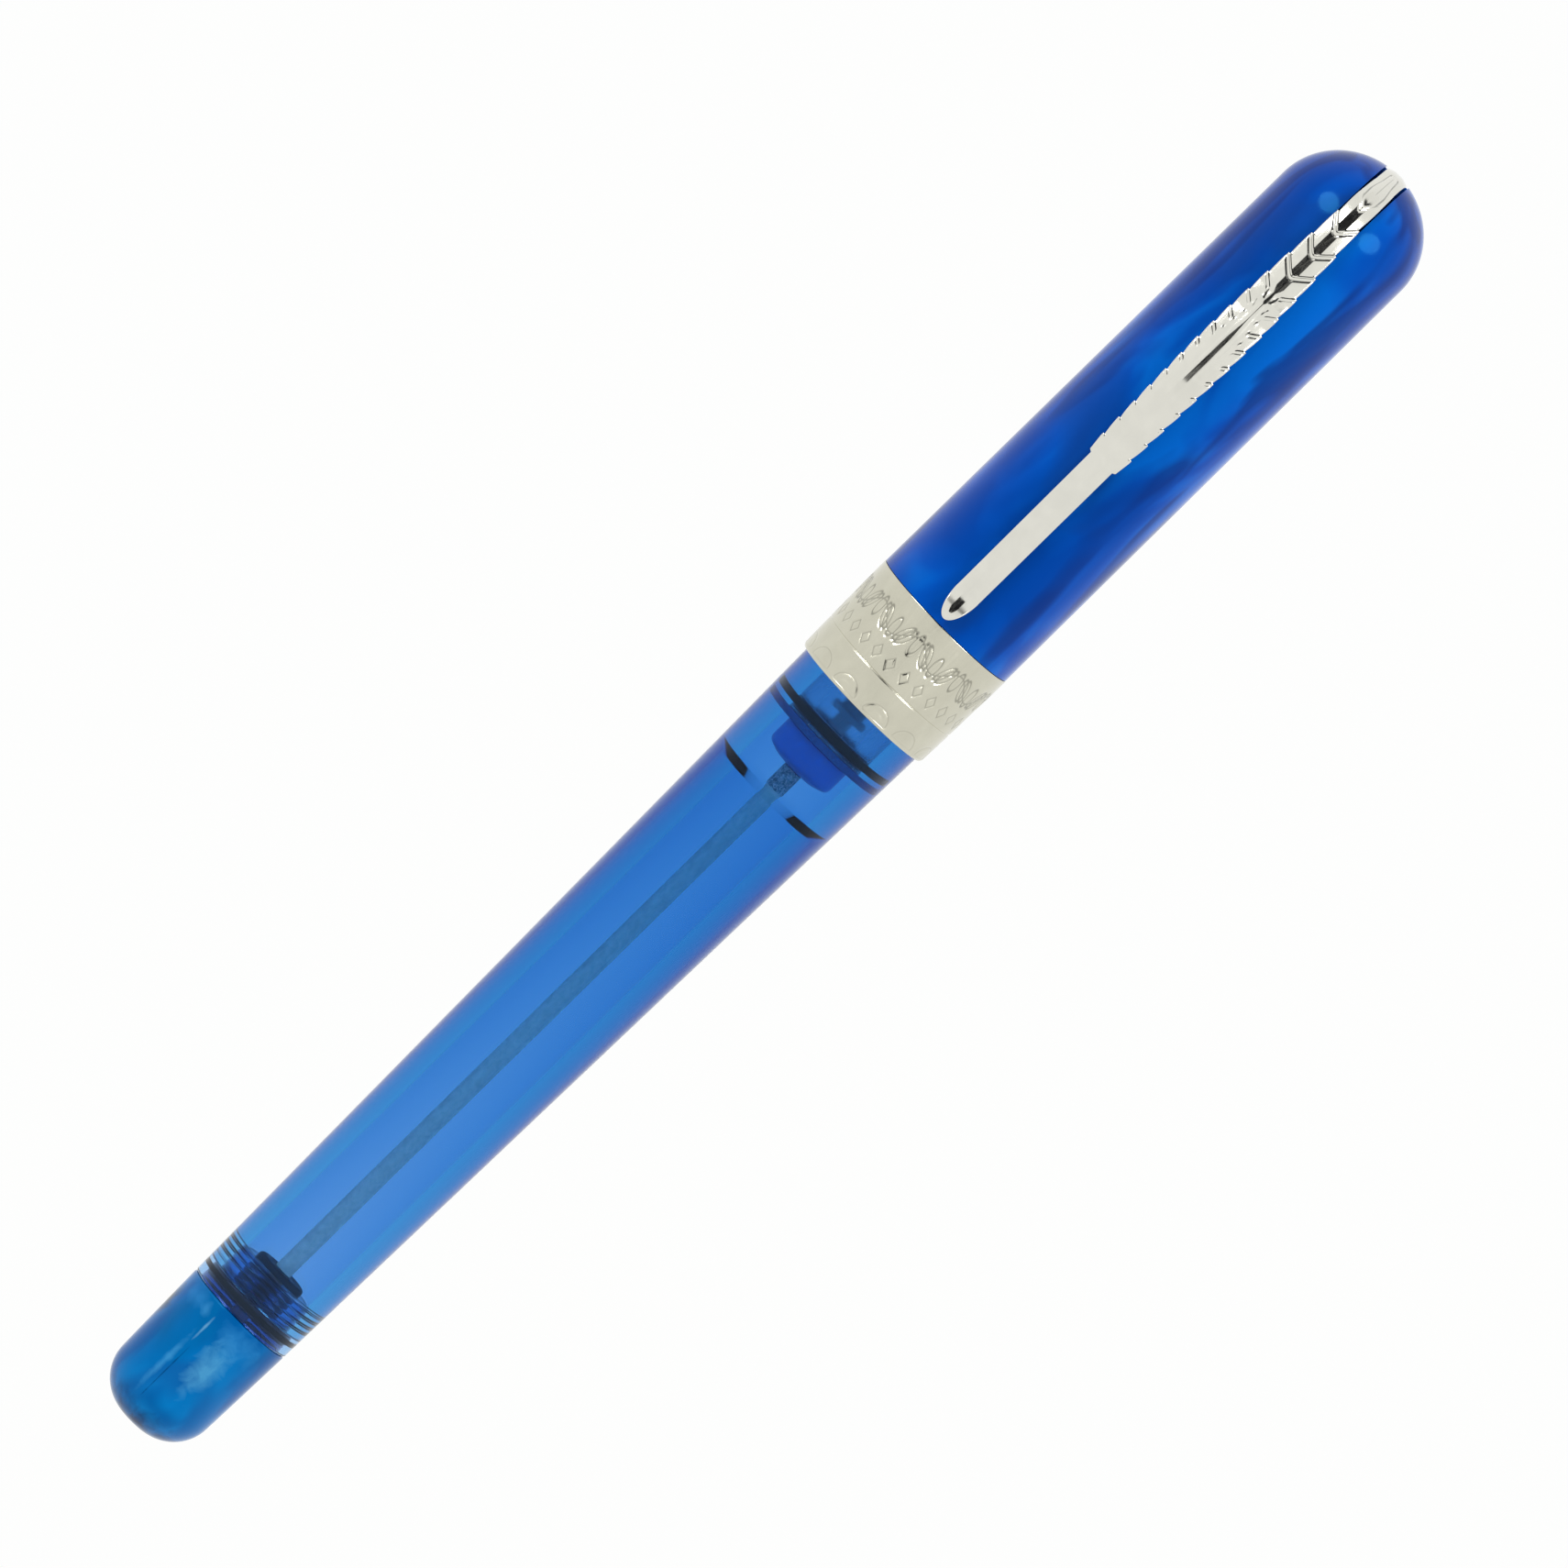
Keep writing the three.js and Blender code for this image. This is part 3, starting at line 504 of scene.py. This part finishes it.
SMOKE = plastic("smoke_plastic", (0.85, 0.82, 0.76), 0.5)
MILKY = plastic("milky_plastic", (0.75, 0.78, 0.8), 0.35, 0.6)
FIBRE = fibre("bonded_fibre", (0.8, 0.78, 0.7))


# ---- Pieces ----


def o_ring(node, material, swell):
    """A ring squashed into its groove, that presses swell into the bore round it."""
    low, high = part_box(node)
    thickness = (high.x - low.x) / 2
    outer = (high.z - low.z) / 2 + swell
    centre = outer - thickness
    points = []
    steps = 40
    for i in range(steps):
        angle = 2 * math.pi * i / steps
        across = math.copysign(abs(math.cos(angle)) ** 0.5, math.cos(angle))
        up = math.copysign(abs(math.sin(angle)) ** 0.5, math.sin(angle))
        points.append(((low.x + high.x) / 2 + thickness * across, centre + thickness * up))
    return place(turned(node + "_round", points, True), node, material)


def gasket():
    """The chamber's washer, pressed out against the wall."""
    points, ring = outline("chamber_gasket")
    outer = max(radius for _, radius in points)
    points = [(x, radius + 0.07 * MM) if radius > outer - MERGE else (x, radius) for x, radius in points]
    washer = turned("chamber_gasket_smooth", refine(points, ring, 0.06 * MM), ring)
    return place(washer, "chamber_gasket", NAVY)


def cutter(name, outline_points, half_width):
    """A block for cutting: an outline in X and Z (about the axis), extruded across Y."""
    count = len(outline_points)
    corners = [(x, -half_width, AXIS + z) for x, z in outline_points]
    corners += [(x, half_width, AXIS + z) for x, z in outline_points]
    faces = [tuple(range(count)), tuple(range(count, 2 * count))]
    faces += [(i, (i + 1) % count, (i + 1) % count + count, i + count) for i in range(count)]
    return solid(name, corners, faces)


def disc(x, z, radius, steps=32):
    """The outline of a circle in X and Z."""
    angles = [2 * math.pi * i / steps for i in range(steps)]
    return [(x + radius * math.cos(a), z + radius * math.sin(a)) for a in angles]


def carve(piece, tool, operation="DIFFERENCE"):
    """Applies a boolean and removes the tool."""
    cut = piece.modifiers.new("carve", "BOOLEAN")
    cut.operation = operation
    cut.solver = "EXACT"
    cut.object = tool
    bpy.context.view_layer.update()
    made = bpy.data.meshes.new_from_object(piece.evaluated_get(bpy.context.evaluated_depsgraph_get()))
    piece.modifiers.clear()
    piece.data = made
    bpy.data.objects.remove(tool)
    made.set_sharp_from_angle(angle=math.radians(38))


PIVOT_X = middle("clip_pin").x
PIVOT_Z = middle("clip_pin").z - AXIS
PIN_RADIUS = (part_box("clip_pin")[1].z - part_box("clip_pin")[0].z) / 2
PIN_HALF_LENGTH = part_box("clip_pin")[1].y
# The cap's dome in mm: where it starts, how far it reaches along the pen, and its radius.
DOME_X = 64.6
DOME_LONG = 6.3
DOME_HIGH = 6.65
DOME_START = DOME_X * MM
DOME_DEPTH = DOME_LONG * MM
DOME_RADIUS = DOME_HIGH * MM
SEAM_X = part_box("cap_band")[1].x
SEAM_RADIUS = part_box("cap_shell")[1].y


def cap_shell():
    """The domed shell, with the slot for the clip cut through its crown, and the pin's hole."""
    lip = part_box("cap_shell")[0].x
    spigot = 6.26 * MM
    bore = 5.85 * MM
    bore_end = 60.2 * MM
    start = SEAM_X + 0.04 * MM
    steps = 48
    dome = [(DOME_START + DOME_DEPTH, 0)]
    for i in range(1, steps + 1):
        angle = math.pi / 2 * i / steps
        dome.append((DOME_START + DOME_DEPTH * math.cos(angle), DOME_RADIUS * math.sin(angle)))
    inside = [(start, spigot), (lip, spigot), (lip, bore), (bore_end, bore), (bore_end, 0)]
    profile = refine(dome + [(start, SEAM_RADIUS)] + inside, False, 0.04 * MM)
    shell = turned("cap_shell_smooth", profile, False, 192)
    above = 9 * MM
    pocket = (62.6 * MM, 0.8 * MM)
    run = (69.3 * MM, -2.1 * MM)
    beyond = 72 * MM
    slot_outline = [
        (pocket[0], above), pocket, (run[0], pocket[1]), run, (beyond, run[1]), (beyond, above),
    ]
    carve(shell, cutter("slot", slot_outline, 1.25 * MM))
    fit = 0.04 * MM
    hole = disc(PIVOT_X, PIVOT_Z, PIN_RADIUS + fit)
    carve(shell, cutter("pin_hole", hole, PIN_HALF_LENGTH + fit))
    return place(shell, "cap_shell", CAP_BLUE)


# ---- Clip: a quill that lies over the cap and turns down into the crown's slot ----

# u runs along the cap's top from the clip's tip: X on the side, then arc length over the dome, in mm.
DOME_ARC = 6.45
CLIP_TIP = 21.0
APEX_U = DOME_X + DOME_ARC * math.pi / 2
CLIP_END_U = DOME_X + DOME_ARC * math.radians(102)
TIP_LENGTH = 2.8
VANE_START = 38.7
LEAF_START = 66.9
LEAF_END = 72.8

# The outer face's height over the cap, the strip's thickness, and its half width, at places along u.
LIFT = (
    (CLIP_TIP, 1.35), (23, 1.0), (25.5, 1.05), (32, 1.45), (40, 2.0), (46, 2.38), (48, 2.42), (50, 2.32),
    (DOME_X, 1.15), (67, 0.95), (69, 0.78), (72, 0.3), (73.4, 0.12), (APEX_U, 0.1), (CLIP_END_U, 0.1),
)
THICKNESS = ((CLIP_TIP, 0.5), (23, 0.85), (40, 1.1), (60, 1.05), (67, 0.75), (69, 0.85), (CLIP_END_U, 0.8))
HALF_WIDTH = (
    (24, 1.16), (VANE_START, 1.2), (VANE_START + 0.15, 1.44), (VANE_START + 1.5, 1.6), (45, 1.73),
    (51, 1.86), (55, 1.81), (59, 1.66), (64, 1.36), (66, 1.24), (69, 1.12), (72, 1.04), (CLIP_END_U, 1.04),
)
NOTCH_DEPTH = 0.15
FULL_CHEVRONS = 4
DASHES = 6


def notches():
    """Where the barbs end along both edges: evenly spaced at first, then further apart."""
    places = [40.5]
    pitch = 1.79
    for i in range(1, 15):
        if i > 8:
            pitch *= 1.075
        places.append(places[-1] + pitch)
    return places


def cap_top(u):
    """A point of the cap's top line and its outward direction, as (x, z) above the axis in mm."""
    if u <= DOME_X:
        seam = SEAM_RADIUS / MM
        slope = (DOME_HIGH - seam) / (DOME_X - SEAM_X / MM)
        return (u, seam + slope * (u - SEAM_X / MM)), (0.0, 1.0)
    angle = (u - DOME_X) / DOME_ARC
    across = math.sin(angle) / DOME_LONG
    up = math.cos(angle) / DOME_HIGH
    size = math.hypot(across, up)
    point = (DOME_X + DOME_LONG * math.sin(angle), DOME_HIGH * math.cos(angle))
    return point, (across / size, up / size)


def softened(table, u, spread):
    """A table's value at each u, with its corners rounded over about spread."""
    places, values = zip(*table)
    offsets = np.linspace(-1, 1, 9) * spread
    weights = np.exp(-2 * (offsets / spread) ** 2)
    total = sum(w * np.interp(u + o, places, values) for o, w in zip(offsets, weights))
    return total / weights.sum()


def smooth_step(low, high, value):
    t = np.clip((value - low) / (high - low), 0, 1)
    return t * t * (3 - 2 * t)


def clip_edge(u):
    """The half width at each u, with the round tip and the stepped barbs."""
    half = np.interp(u, *zip(*HALF_WIDTH))
    part = np.clip((u - CLIP_TIP) / TIP_LENGTH, 0, 1)
    half = np.where(part < 1, half * np.sqrt(1 - (1 - part) ** 2) + 0.01, half)
    ends = notches()
    for first, last in zip([VANE_START] + ends, ends):
        inside = (u > first) & (u <= last)
        t = (u - first) / (last - first)
        dip = NOTCH_DEPTH if first > VANE_START else 0
        half = np.where(inside, half - dip * (1 - t) ** 2, half)
    return half


def ripple(distance, height, width):
    """The profile of a raised line with a fine groove on its low side."""
    ridge = np.exp(-(distance / width) ** 2)
    groove = np.exp(-((distance + 1.9 * width) / width) ** 2)
    return height * (ridge - 0.7 * groove)


def leaf_edge(u):
    """The half width of the small leaf that ends the quill on the crown."""
    return np.interp(u, (LEAF_START, 68.2, 69.4, 71, LEAF_END), (0.05, 0.62, 0.66, 0.44, 0.34))


def leaf_lines(u, side):
    """Painted shade on the leaf: 1 along its outline, its square end and its vein."""
    outline_mark = np.exp(-(((side - leaf_edge(u) - 0.04) / 0.09) ** 2)) * smooth_step(67.4, 68.4, u)
    end_mark = np.exp(-(((u - LEAF_END) / 0.12) ** 2)) * (side < leaf_edge(u))
    vein_mark = np.exp(-((side / 0.08) ** 2)) * smooth_step(68.4, 69.2, u) * (u < LEAF_END - 0.6)
    return np.maximum(np.maximum(outline_mark * (u < LEAF_END), end_mark), 0.7 * vein_mark)


def clip_face(u, v, half):
    """How far the outer face lies below its highest line, in mm, at each u and v."""
    side = np.abs(v)
    part = side / half
    crown = smooth_step(55, 59, u)
    flat_places = (21.4, 22.2, 23.4, 24, 48, 53, 55.4, 56.7, 57.1, 57.9, 58.6)
    flat = np.interp(u, flat_places, (0, 0.3, 0.3, 0.2, 0.2, 0.16, 0, 0.02, 0.33, 0.12, 0.38))
    slope_places = (23, 26, 48, 53, 55.4, 57, 59, 63, 65.2, 68)
    slope = np.interp(u, slope_places, (0.1, 0.05, 0.09, 0.1, 0.16, 0.1, 0.15, 0.17, 0.28, 0.3))
    fall = slope * np.clip(side - flat, 0, None) + 0.035 * np.clip(side - flat, 0, None) ** 2
    fall = fall + 0.3 * np.clip((CLIP_TIP + 0.9 - u) / 0.9, 0, 1) ** 2
    quill = np.interp(u, (CLIP_TIP, 26, 48, 54, 58.2), (0, 0.3, 0.32, 0.3, 0.02))
    beside = smooth_step(quill, quill + 0.25, side) * smooth_step(25, 28, u) * smooth_step(58.6, 57.4, u)
    face = -fall - 0.015 * beside
    for i in range(DASHES):
        dash_u = 52.2 + 1.05 * i
        out = 1.1 - 0.13 * i
        length = 0.18 + 0.05 * i
        width = 0.07 + 0.01 * i
        near = np.exp(-(((u - dash_u) / length) ** 2) - ((side - out) / width) ** 2)
        face = face + near * (slope * (side - out) - 0.12 * (u - dash_u))
    ends = notches()
    for i, end in enumerate(ends):
        full = i >= len(ends) - FULL_CHEVRONS
        reach = 1.6 if i == len(ends) - 1 else 1.35
        line = end - reach * (1 - np.sqrt(part ** 2 + 0.012))
        inner = 0 if full else 1 - np.interp(i, (0, 6, 10), (0.22, 0.34, 0.66))
        shown = 1.0 if full else smooth_step(inner, inner + 0.12, part)
        face = face + shown * (ripple(u - line, 0.085, 0.13) if full else ripple(u - line, 0.035, 0.09))
    leaf = leaf_edge(u)
    leaf_drop = np.clip(softened(LIFT, u, 0.5) - 0.12, 0, 0.3)
    beyond_end = smooth_step(LEAF_END - 0.04, LEAF_END + 0.06, u)
    outside = np.maximum(smooth_step(leaf, leaf + 0.1, side), beyond_end)
    on_leaf = smooth_step(67.6, 69.6, u)
    face = face - leaf_drop * outside * on_leaf
    rim = np.exp(-(((side - leaf) / 0.08) ** 2)) * on_leaf * smooth_step(LEAF_END, LEAF_END - 0.3, u)
    vein = np.exp(-((side / 0.07) ** 2)) * on_leaf * smooth_step(LEAF_END - 0.3, LEAF_END - 0.8, u)
    face = face - 0.1 * rim - 0.07 * vein
    edge = np.clip((part - 0.9) / 0.1, 0, 1)
    return face - 0.1 * (1 - np.sqrt(1 - edge ** 2)) - 0.05


def clip_rows():
    """Places along the clip, close together at the tip, the notches and over the crown."""
    rows = list(CLIP_TIP + TIP_LENGTH * np.linspace(0, 1, 40) ** 2)
    rows += list(np.arange(24, VANE_START, 0.12))
    rows += list(np.arange(VANE_START, 58, 0.07))
    rows += list(np.arange(58, APEX_U, 0.05))
    rows += list(np.linspace(APEX_U, CLIP_END_U, 8))
    for end in notches():
        rows += [end - 0.004, end + 0.012]
    return np.array(sorted(rows))


def clip_strip():
    u = clip_rows()
    half = clip_edge(u)
    lift = softened(LIFT, u, 0.5)
    thick = np.interp(u, *zip(*THICKNESS))
    across = np.linspace(-1, 1, 91)
    parts = 0.5 * np.sin(across * math.pi / 2) + 0.5 * across
    v = parts[None, :] * half[:, None]
    top = lift[:, None] + clip_face(u[:, None], v, half[:, None])
    corners = []
    for i in range(len(u)):
        (x, z), (nx, nz) = cap_top(u[i])
        low = lift[i] - thick[i]
        section = list(zip(v[i], top[i]))
        for side in (1, -1):
            under = [(side * half[i], low + 0.08), (side * half[i] * 0.94, low)]
            section += under[::side]
        corners += [((x + nx * h) * MM, y * MM, AXIS + (z + nz * h) * MM) for y, h in section]
    size = len(parts) + 4
    faces = []
    for i in range(len(u) - 1):
        for j in range(size):
            k = (j + 1) % size
            faces.append((i * size + j, i * size + k, (i + 1) * size + k, (i + 1) * size + j))
    faces.append(tuple(range(size)))
    faces.append(tuple(range((len(u) - 1) * size, len(u) * size)))
    return solid("clip_quill", corners, faces)


def clip_lug():
    """The plate under the strip: an eye for the pin and a shelf over the spring."""
    eye = 1.15 * MM
    corner = 0.6 * MM
    shelf = 4.6 * MM
    shelf_end = middle("clip_spring").x + 0.7 * MM
    left = PIVOT_X - eye
    right = PIVOT_X + eye
    low = PIVOT_Z - eye
    shape = [
        (left, 6.9 * MM), (left, low + corner), (left + corner, low), (right - corner, low),
        (right, low + corner), (right, shelf), (shelf_end, shelf), (shelf_end, shelf + MM),
        (shelf_end - 1.7 * MM, shelf + 2 * MM),
    ]
    return cutter("lug", shape, 0.85 * MM)


def clip():
    quill = clip_strip()
    carve(quill, clip_lug(), "UNION")
    carve(quill, cutter("pin_eye", disc(PIVOT_X, PIVOT_Z, PIN_RADIUS + 0.05 * MM), 2 * MM))
    places = np.array([tuple(v.co) for v in quill.data.vertices]) / MM
    x = places[:, 0]
    height = places[:, 2] - AXIS / MM
    over_dome = DOME_X + DOME_ARC * np.arctan2((x - DOME_X) / DOME_LONG, height / DOME_HIGH)
    # Painted shade along the leaf's outline, square end and vein, kept in the 'cut' attribute for the
    # plating to darken.
    marks = leaf_lines(np.where(x < DOME_X, x, over_dome), np.abs(places[:, 1])) * (height > -1)
    quill.data.attributes.new("cut", "FLOAT", "POINT").data.foreach_set("value", marks.astype(np.float32))
    return place(quill, "clip", BRIGHT)


# ---- Band ----

BAND_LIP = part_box("cap_band")[0].x / MM
BAND_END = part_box("cap_band")[1].x / MM
BAND_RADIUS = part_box("cap_band")[1].z - AXIS
ARCHES = 12
SPRIGS = 9
BUDS = 27
BUD_ROW = BAND_LIP + 4.4
FACE_START = 6.5 * MM
PATTERN_START = 6.55 * MM
CUT_DEPTH = 0.048 * MM
WEAR = 0.004 * MM


def stroke(distance, width=0.1):
    """A round-bottomed cut along a line, 1 at its middle."""
    return np.exp(-(distance / width) ** 2)


def band_pattern(x, angles):
    """How deep the band's ornament is cut at x (mm) and each angle: 1 is a full cut."""
    turn = angles * ARCHES / (2 * math.pi)
    around = (turn - np.floor(turn) - 0.5) * 2 * math.pi * BAND_RADIUS / MM / ARCHES
    arch_x = (x - BAND_LIP - 0.35) / 1.15
    arch = np.hypot(around / 1.3, arch_x)
    depth = stroke((arch - 1) * 1.2) * (arch_x > 0)
    depth = np.maximum(depth, 0.8 * stroke(arch_x * 1.15, 0.08) * (np.abs(around) < 1.3))
    inner = np.hypot(around / 0.8, arch_x / 0.55)
    depth = 0.6 * np.maximum(depth, 0.6 * stroke((inner - 1) * 0.7, 0.07) * (arch_x > 0))
    run = angles * SPRIGS / (2 * math.pi)
    phase = (run - np.floor(run)) * 2 * math.pi
    middle_x = BAND_END - 2.55
    stem = middle_x + 0.75 * np.sin(phase)
    depth = np.maximum(depth, 0.9 * stroke((x - stem) / np.hypot(1, 0.75 * np.cos(phase)), 0.11))
    length = 2 * math.pi * BAND_RADIUS / MM / SPRIGS
    for place_at, side in ((0.25, -1), (0.75, 1)):
        for lean in (-0.18, 0.0, 0.18):
            along = (phase / (2 * math.pi) - place_at - lean) * length
            along = (along + length / 2) % length - length / 2
            out = (x - middle_x) * side
            slant = along - lean * 2.2 * (out + 0.4)
            leaf = np.hypot(slant / 0.33, (out + 0.15 - abs(lean)) / 0.95)
            depth = np.maximum(depth, stroke((leaf - 1) * 0.4, 0.075))
            depth = np.maximum(depth, 0.5 * stroke(slant, 0.06) * (leaf < 0.8))
    bud = angles * BUDS / (2 * math.pi)
    across = (bud - np.floor(bud) - 0.5) * 2 * math.pi * BAND_RADIUS / MM / BUDS
    bud_edge = np.abs(across) / 0.42 + np.abs(x - BUD_ROW) / 0.62
    return np.maximum(depth, 0.8 * stroke((bud_edge - 1) * 0.35, 0.09))


def engraved(x, radius, angles):
    """The band's radii at x, with the ornament cut into its outer face, slightly worn."""
    x_mm = x / MM
    if radius < PATTERN_START:
        return np.full(len(angles), radius)
    worn = WEAR * np.sin(3 * angles + 2.1 * x_mm) * np.sin(7 * angles - 0.9 * x_mm)
    return np.minimum(radius - CUT_DEPTH * band_pattern(x_mm, angles) + worn - WEAR, BAND_RADIUS)


# ---- Building ----


def build_turned():
    """The turned pieces. Each thread is (start, end, crest radius, depth, pitch, part cut)."""
    bore_thread = (-56.6 * MM, -54.4 * MM, 3.74 * MM, -0.115 * MM, 0.58 * MM, 0.5)
    bush_thread = (-56.92 * MM, -54.49 * MM, 3.7 * MM, 0.04 * MM, 0.58 * MM, 0.4)
    spigot_thread = (-62.45 * MM, -59.1 * MM, 3.2 * MM, 0.25 * MM, 0.69 * MM, 0.9)
    section_thread = (11.55 * MM, 15.35 * MM, 3.9 * MM, 0.25 * MM, 0.74 * MM, 0.9)
    smooth_copy("barrel", CLEAR, 192, threads=(bore_thread,))
    smooth_copy("gland_bush", CLEAR, threads=(bush_thread, spigot_thread))
    smooth_copy("grip_section", PALE, threads=(section_thread,))
    smooth_copy("gland_seal", BLACK_RUBBER)
    o_ring("tail_o_ring", BLACK_RUBBER, 0.12 * MM)
    o_ring("section_o_ring", BLACK_RUBBER, 0.08 * MM)
    gasket()
    smooth_copy("closure_ring", STEEL)
    smooth_copy("ink_feed", SMOKE, 96)
    smooth_copy("feed_wick", FIBRE, 48)
    smooth_copy("nose_cone", BRIGHT)
    smooth_copy("tip_tube", STEEL, 96)
    smooth_copy("plunger_rod", ROD, 64)
    smooth_copy("rod_ferrule", FERRULE, 96)
    smooth_copy("plunger_head", SOLID_BLUE)
    smooth_copy("plunger_seal", NAVY)
    smooth_copy("filler_knob", KNOB_BLUE, 192)
    smooth_copy("knob_collet", BRASS, 96)
    smooth_copy("inner_cap", MILKY)
    smooth_copy("cap_magnet", MAGNET)
    smooth_copy("writing_ball", CARBIDE, 48)


def cap_band():
    face = (BAND_LIP * MM, BAND_END * MM, 0.075 * MM, FACE_START)
    band = smooth_copy("cap_band", BAND_METAL, 560, 0.04 * MM, engraved, face)
    cuts = band.data.attributes.new("cut", "FLOAT", "POINT")
    places = np.array([tuple(v.co) for v in band.data.vertices])
    around = np.arctan2(places[:, 2] - AXIS, places[:, 1])
    radii = np.hypot(places[:, 1], places[:, 2] - AXIS)
    depth = band_pattern(places[:, 0] / MM, around) * (radii > FACE_START)
    cuts.data.foreach_set("value", depth.astype(np.float32))
    return band


build_turned()
cap_band()
cap_shell()
clip()
for node, material in (("clip_pin", STEEL), ("clip_spring", STEEL)):
    frame["nodes"][node].data.materials.clear()
    frame["nodes"][node].data.materials.append(material)


# ---- Stage: floor, light and camera ----

TILT = math.radians(5.5)
ROLL = math.radians(2.0)
SLANT = math.radians(44.46)
VIEW_WIDTH = 124.74 * MM
LENS = 1000.0
SENSOR = 36.0
AIM_RIGHT = 1.56 * MM
AIM_UP = 1.16 * MM


def floor():
    size = 1.5
    mesh = bpy.data.meshes.new("floor")
    corners = [(-size, -size, 0), (size, -size, 0), (size, size, 0), (-size, size, 0)]
    mesh.from_pydata(corners, [], [(0, 1, 2, 3)])
    look = Look("white_floor", Roughness=1.0, Specular_IOR_Level=0.0)
    look.shader.inputs["Base Color"].default_value = (0, 0, 0, 1)
    look.shader.inputs["Emission Color"].default_value = (0.987, 0.99, 0.985, 1)
    look.shader.inputs["Emission Strength"].default_value = 1.0
    mesh.materials.append(look.material)
    piece = bpy.data.objects.new("floor", mesh)
    bpy.context.scene.collection.objects.link(piece)


def studio():
    """A bright room, dark in one patch overhead, where a photographer's camera would stand."""
    world = bpy.data.worlds.new("studio")
    bpy.context.scene.world = world
    world.use_nodes = True
    tree = world.node_tree
    background = tree.nodes["Background"]
    direction = tree.nodes.new("ShaderNodeTexCoord").outputs["Generated"]
    parts = tree.nodes.new("ShaderNodeSeparateXYZ")
    tree.links.new(direction, parts.inputs[0])

    def gate(socket, low, high, soft):
        """1 between low and high, falling to 0 over soft on both sides."""
        rise = tree.nodes.new("ShaderNodeMapRange")
        fall = tree.nodes.new("ShaderNodeMapRange")
        both = tree.nodes.new("ShaderNodeMath")
        both.operation = "MULTIPLY"
        for made, start, stop in ((rise, low - soft, low), (fall, high + soft, high)):
            tree.links.new(socket, made.inputs["Value"])
            made.inputs["From Min"].default_value = start
            made.inputs["From Max"].default_value = stop
        tree.links.new(rise.outputs[0], both.inputs[0])
        tree.links.new(fall.outputs[0], both.inputs[1])
        return both.outputs[0]

    def combined(operation, first, second):
        made = tree.nodes.new("ShaderNodeMath")
        made.operation = operation
        tree.links.new(first, made.inputs[0])
        tree.links.new(second, made.inputs[1])
        return made.outputs[0]

    patch = gate(parts.outputs["X"], -0.01, 0.92, 0.02)
    patch = combined("MULTIPLY", patch, gate(parts.outputs["Y"], -0.11, 0.11, 0.03))
    patch = combined("MULTIPLY", patch, gate(parts.outputs["Z"], 0.38, 1.1, 0.05))
    wings = gate(parts.outputs["X"], 0.26, 0.6, 0.04)
    wings = combined("MULTIPLY", wings, gate(parts.outputs["Y"], -0.32, 0.32, 0.08))
    wings = combined("MULTIPLY", wings, gate(parts.outputs["Z"], 0.5, 1.1, 0.1))
    patch = combined("MAXIMUM", patch, wings)
    shade = tree.nodes.new("ShaderNodeMix")
    shade.data_type = "RGBA"
    shade.inputs[6].default_value = (0.95, 0.95, 0.94, 1)
    shade.inputs[7].default_value = (0.01, 0.01, 0.012, 1)
    tree.links.new(patch, shade.inputs[0])
    tree.links.new(shade.outputs[2], background.inputs["Color"])
    background.inputs["Strength"].default_value = 1.0
    for side in (-1, 1):
        light = bpy.data.lights.new("softbox", "AREA")
        light.shape = "ELLIPSE"
        light.size = 0.42
        light.size_y = 0.5
        light.energy = 4.2
        box = bpy.data.objects.new("softbox", light)
        box.location = (0.35, side * 0.55, 0.6)
        box.rotation_euler = (Vector((0.03, 0, 0)) - box.location).to_track_quat("-Z", "Y").to_euler()
        bpy.context.scene.collection.objects.link(box)


def camera():
    roll = Matrix.Rotation(ROLL, 3, "X")
    away = roll @ Vector((math.sin(TILT), 0, math.cos(TILT)))
    along = roll @ Vector((math.cos(TILT), 0, -math.sin(TILT)))
    across = roll @ Vector((0, 1, 0))
    right = math.cos(SLANT) * along - math.sin(SLANT) * across
    up = math.sin(SLANT) * along + math.cos(SLANT) * across
    distance = VIEW_WIDTH * LENS / SENSOR
    data = bpy.data.cameras.new("camera")
    data.lens = LENS
    data.sensor_width = SENSOR
    data.clip_start = 0.01
    data.clip_end = 20
    eye = bpy.data.objects.new("camera", data)
    target = Vector((0, 0, AXIS)) + right * AIM_RIGHT + up * AIM_UP
    turn = Matrix((right, up, away)).transposed().to_4x4()
    eye.matrix_world = Matrix.Translation(target + away * distance) @ turn
    bpy.context.scene.collection.objects.link(eye)
    bpy.context.scene.camera = eye


floor()
studio()
camera()
bpy.context.scene.view_settings.view_transform = "Standard"
bpy.context.scene.cycles.max_bounces = 24
bpy.context.scene.cycles.transmission_bounces = 24
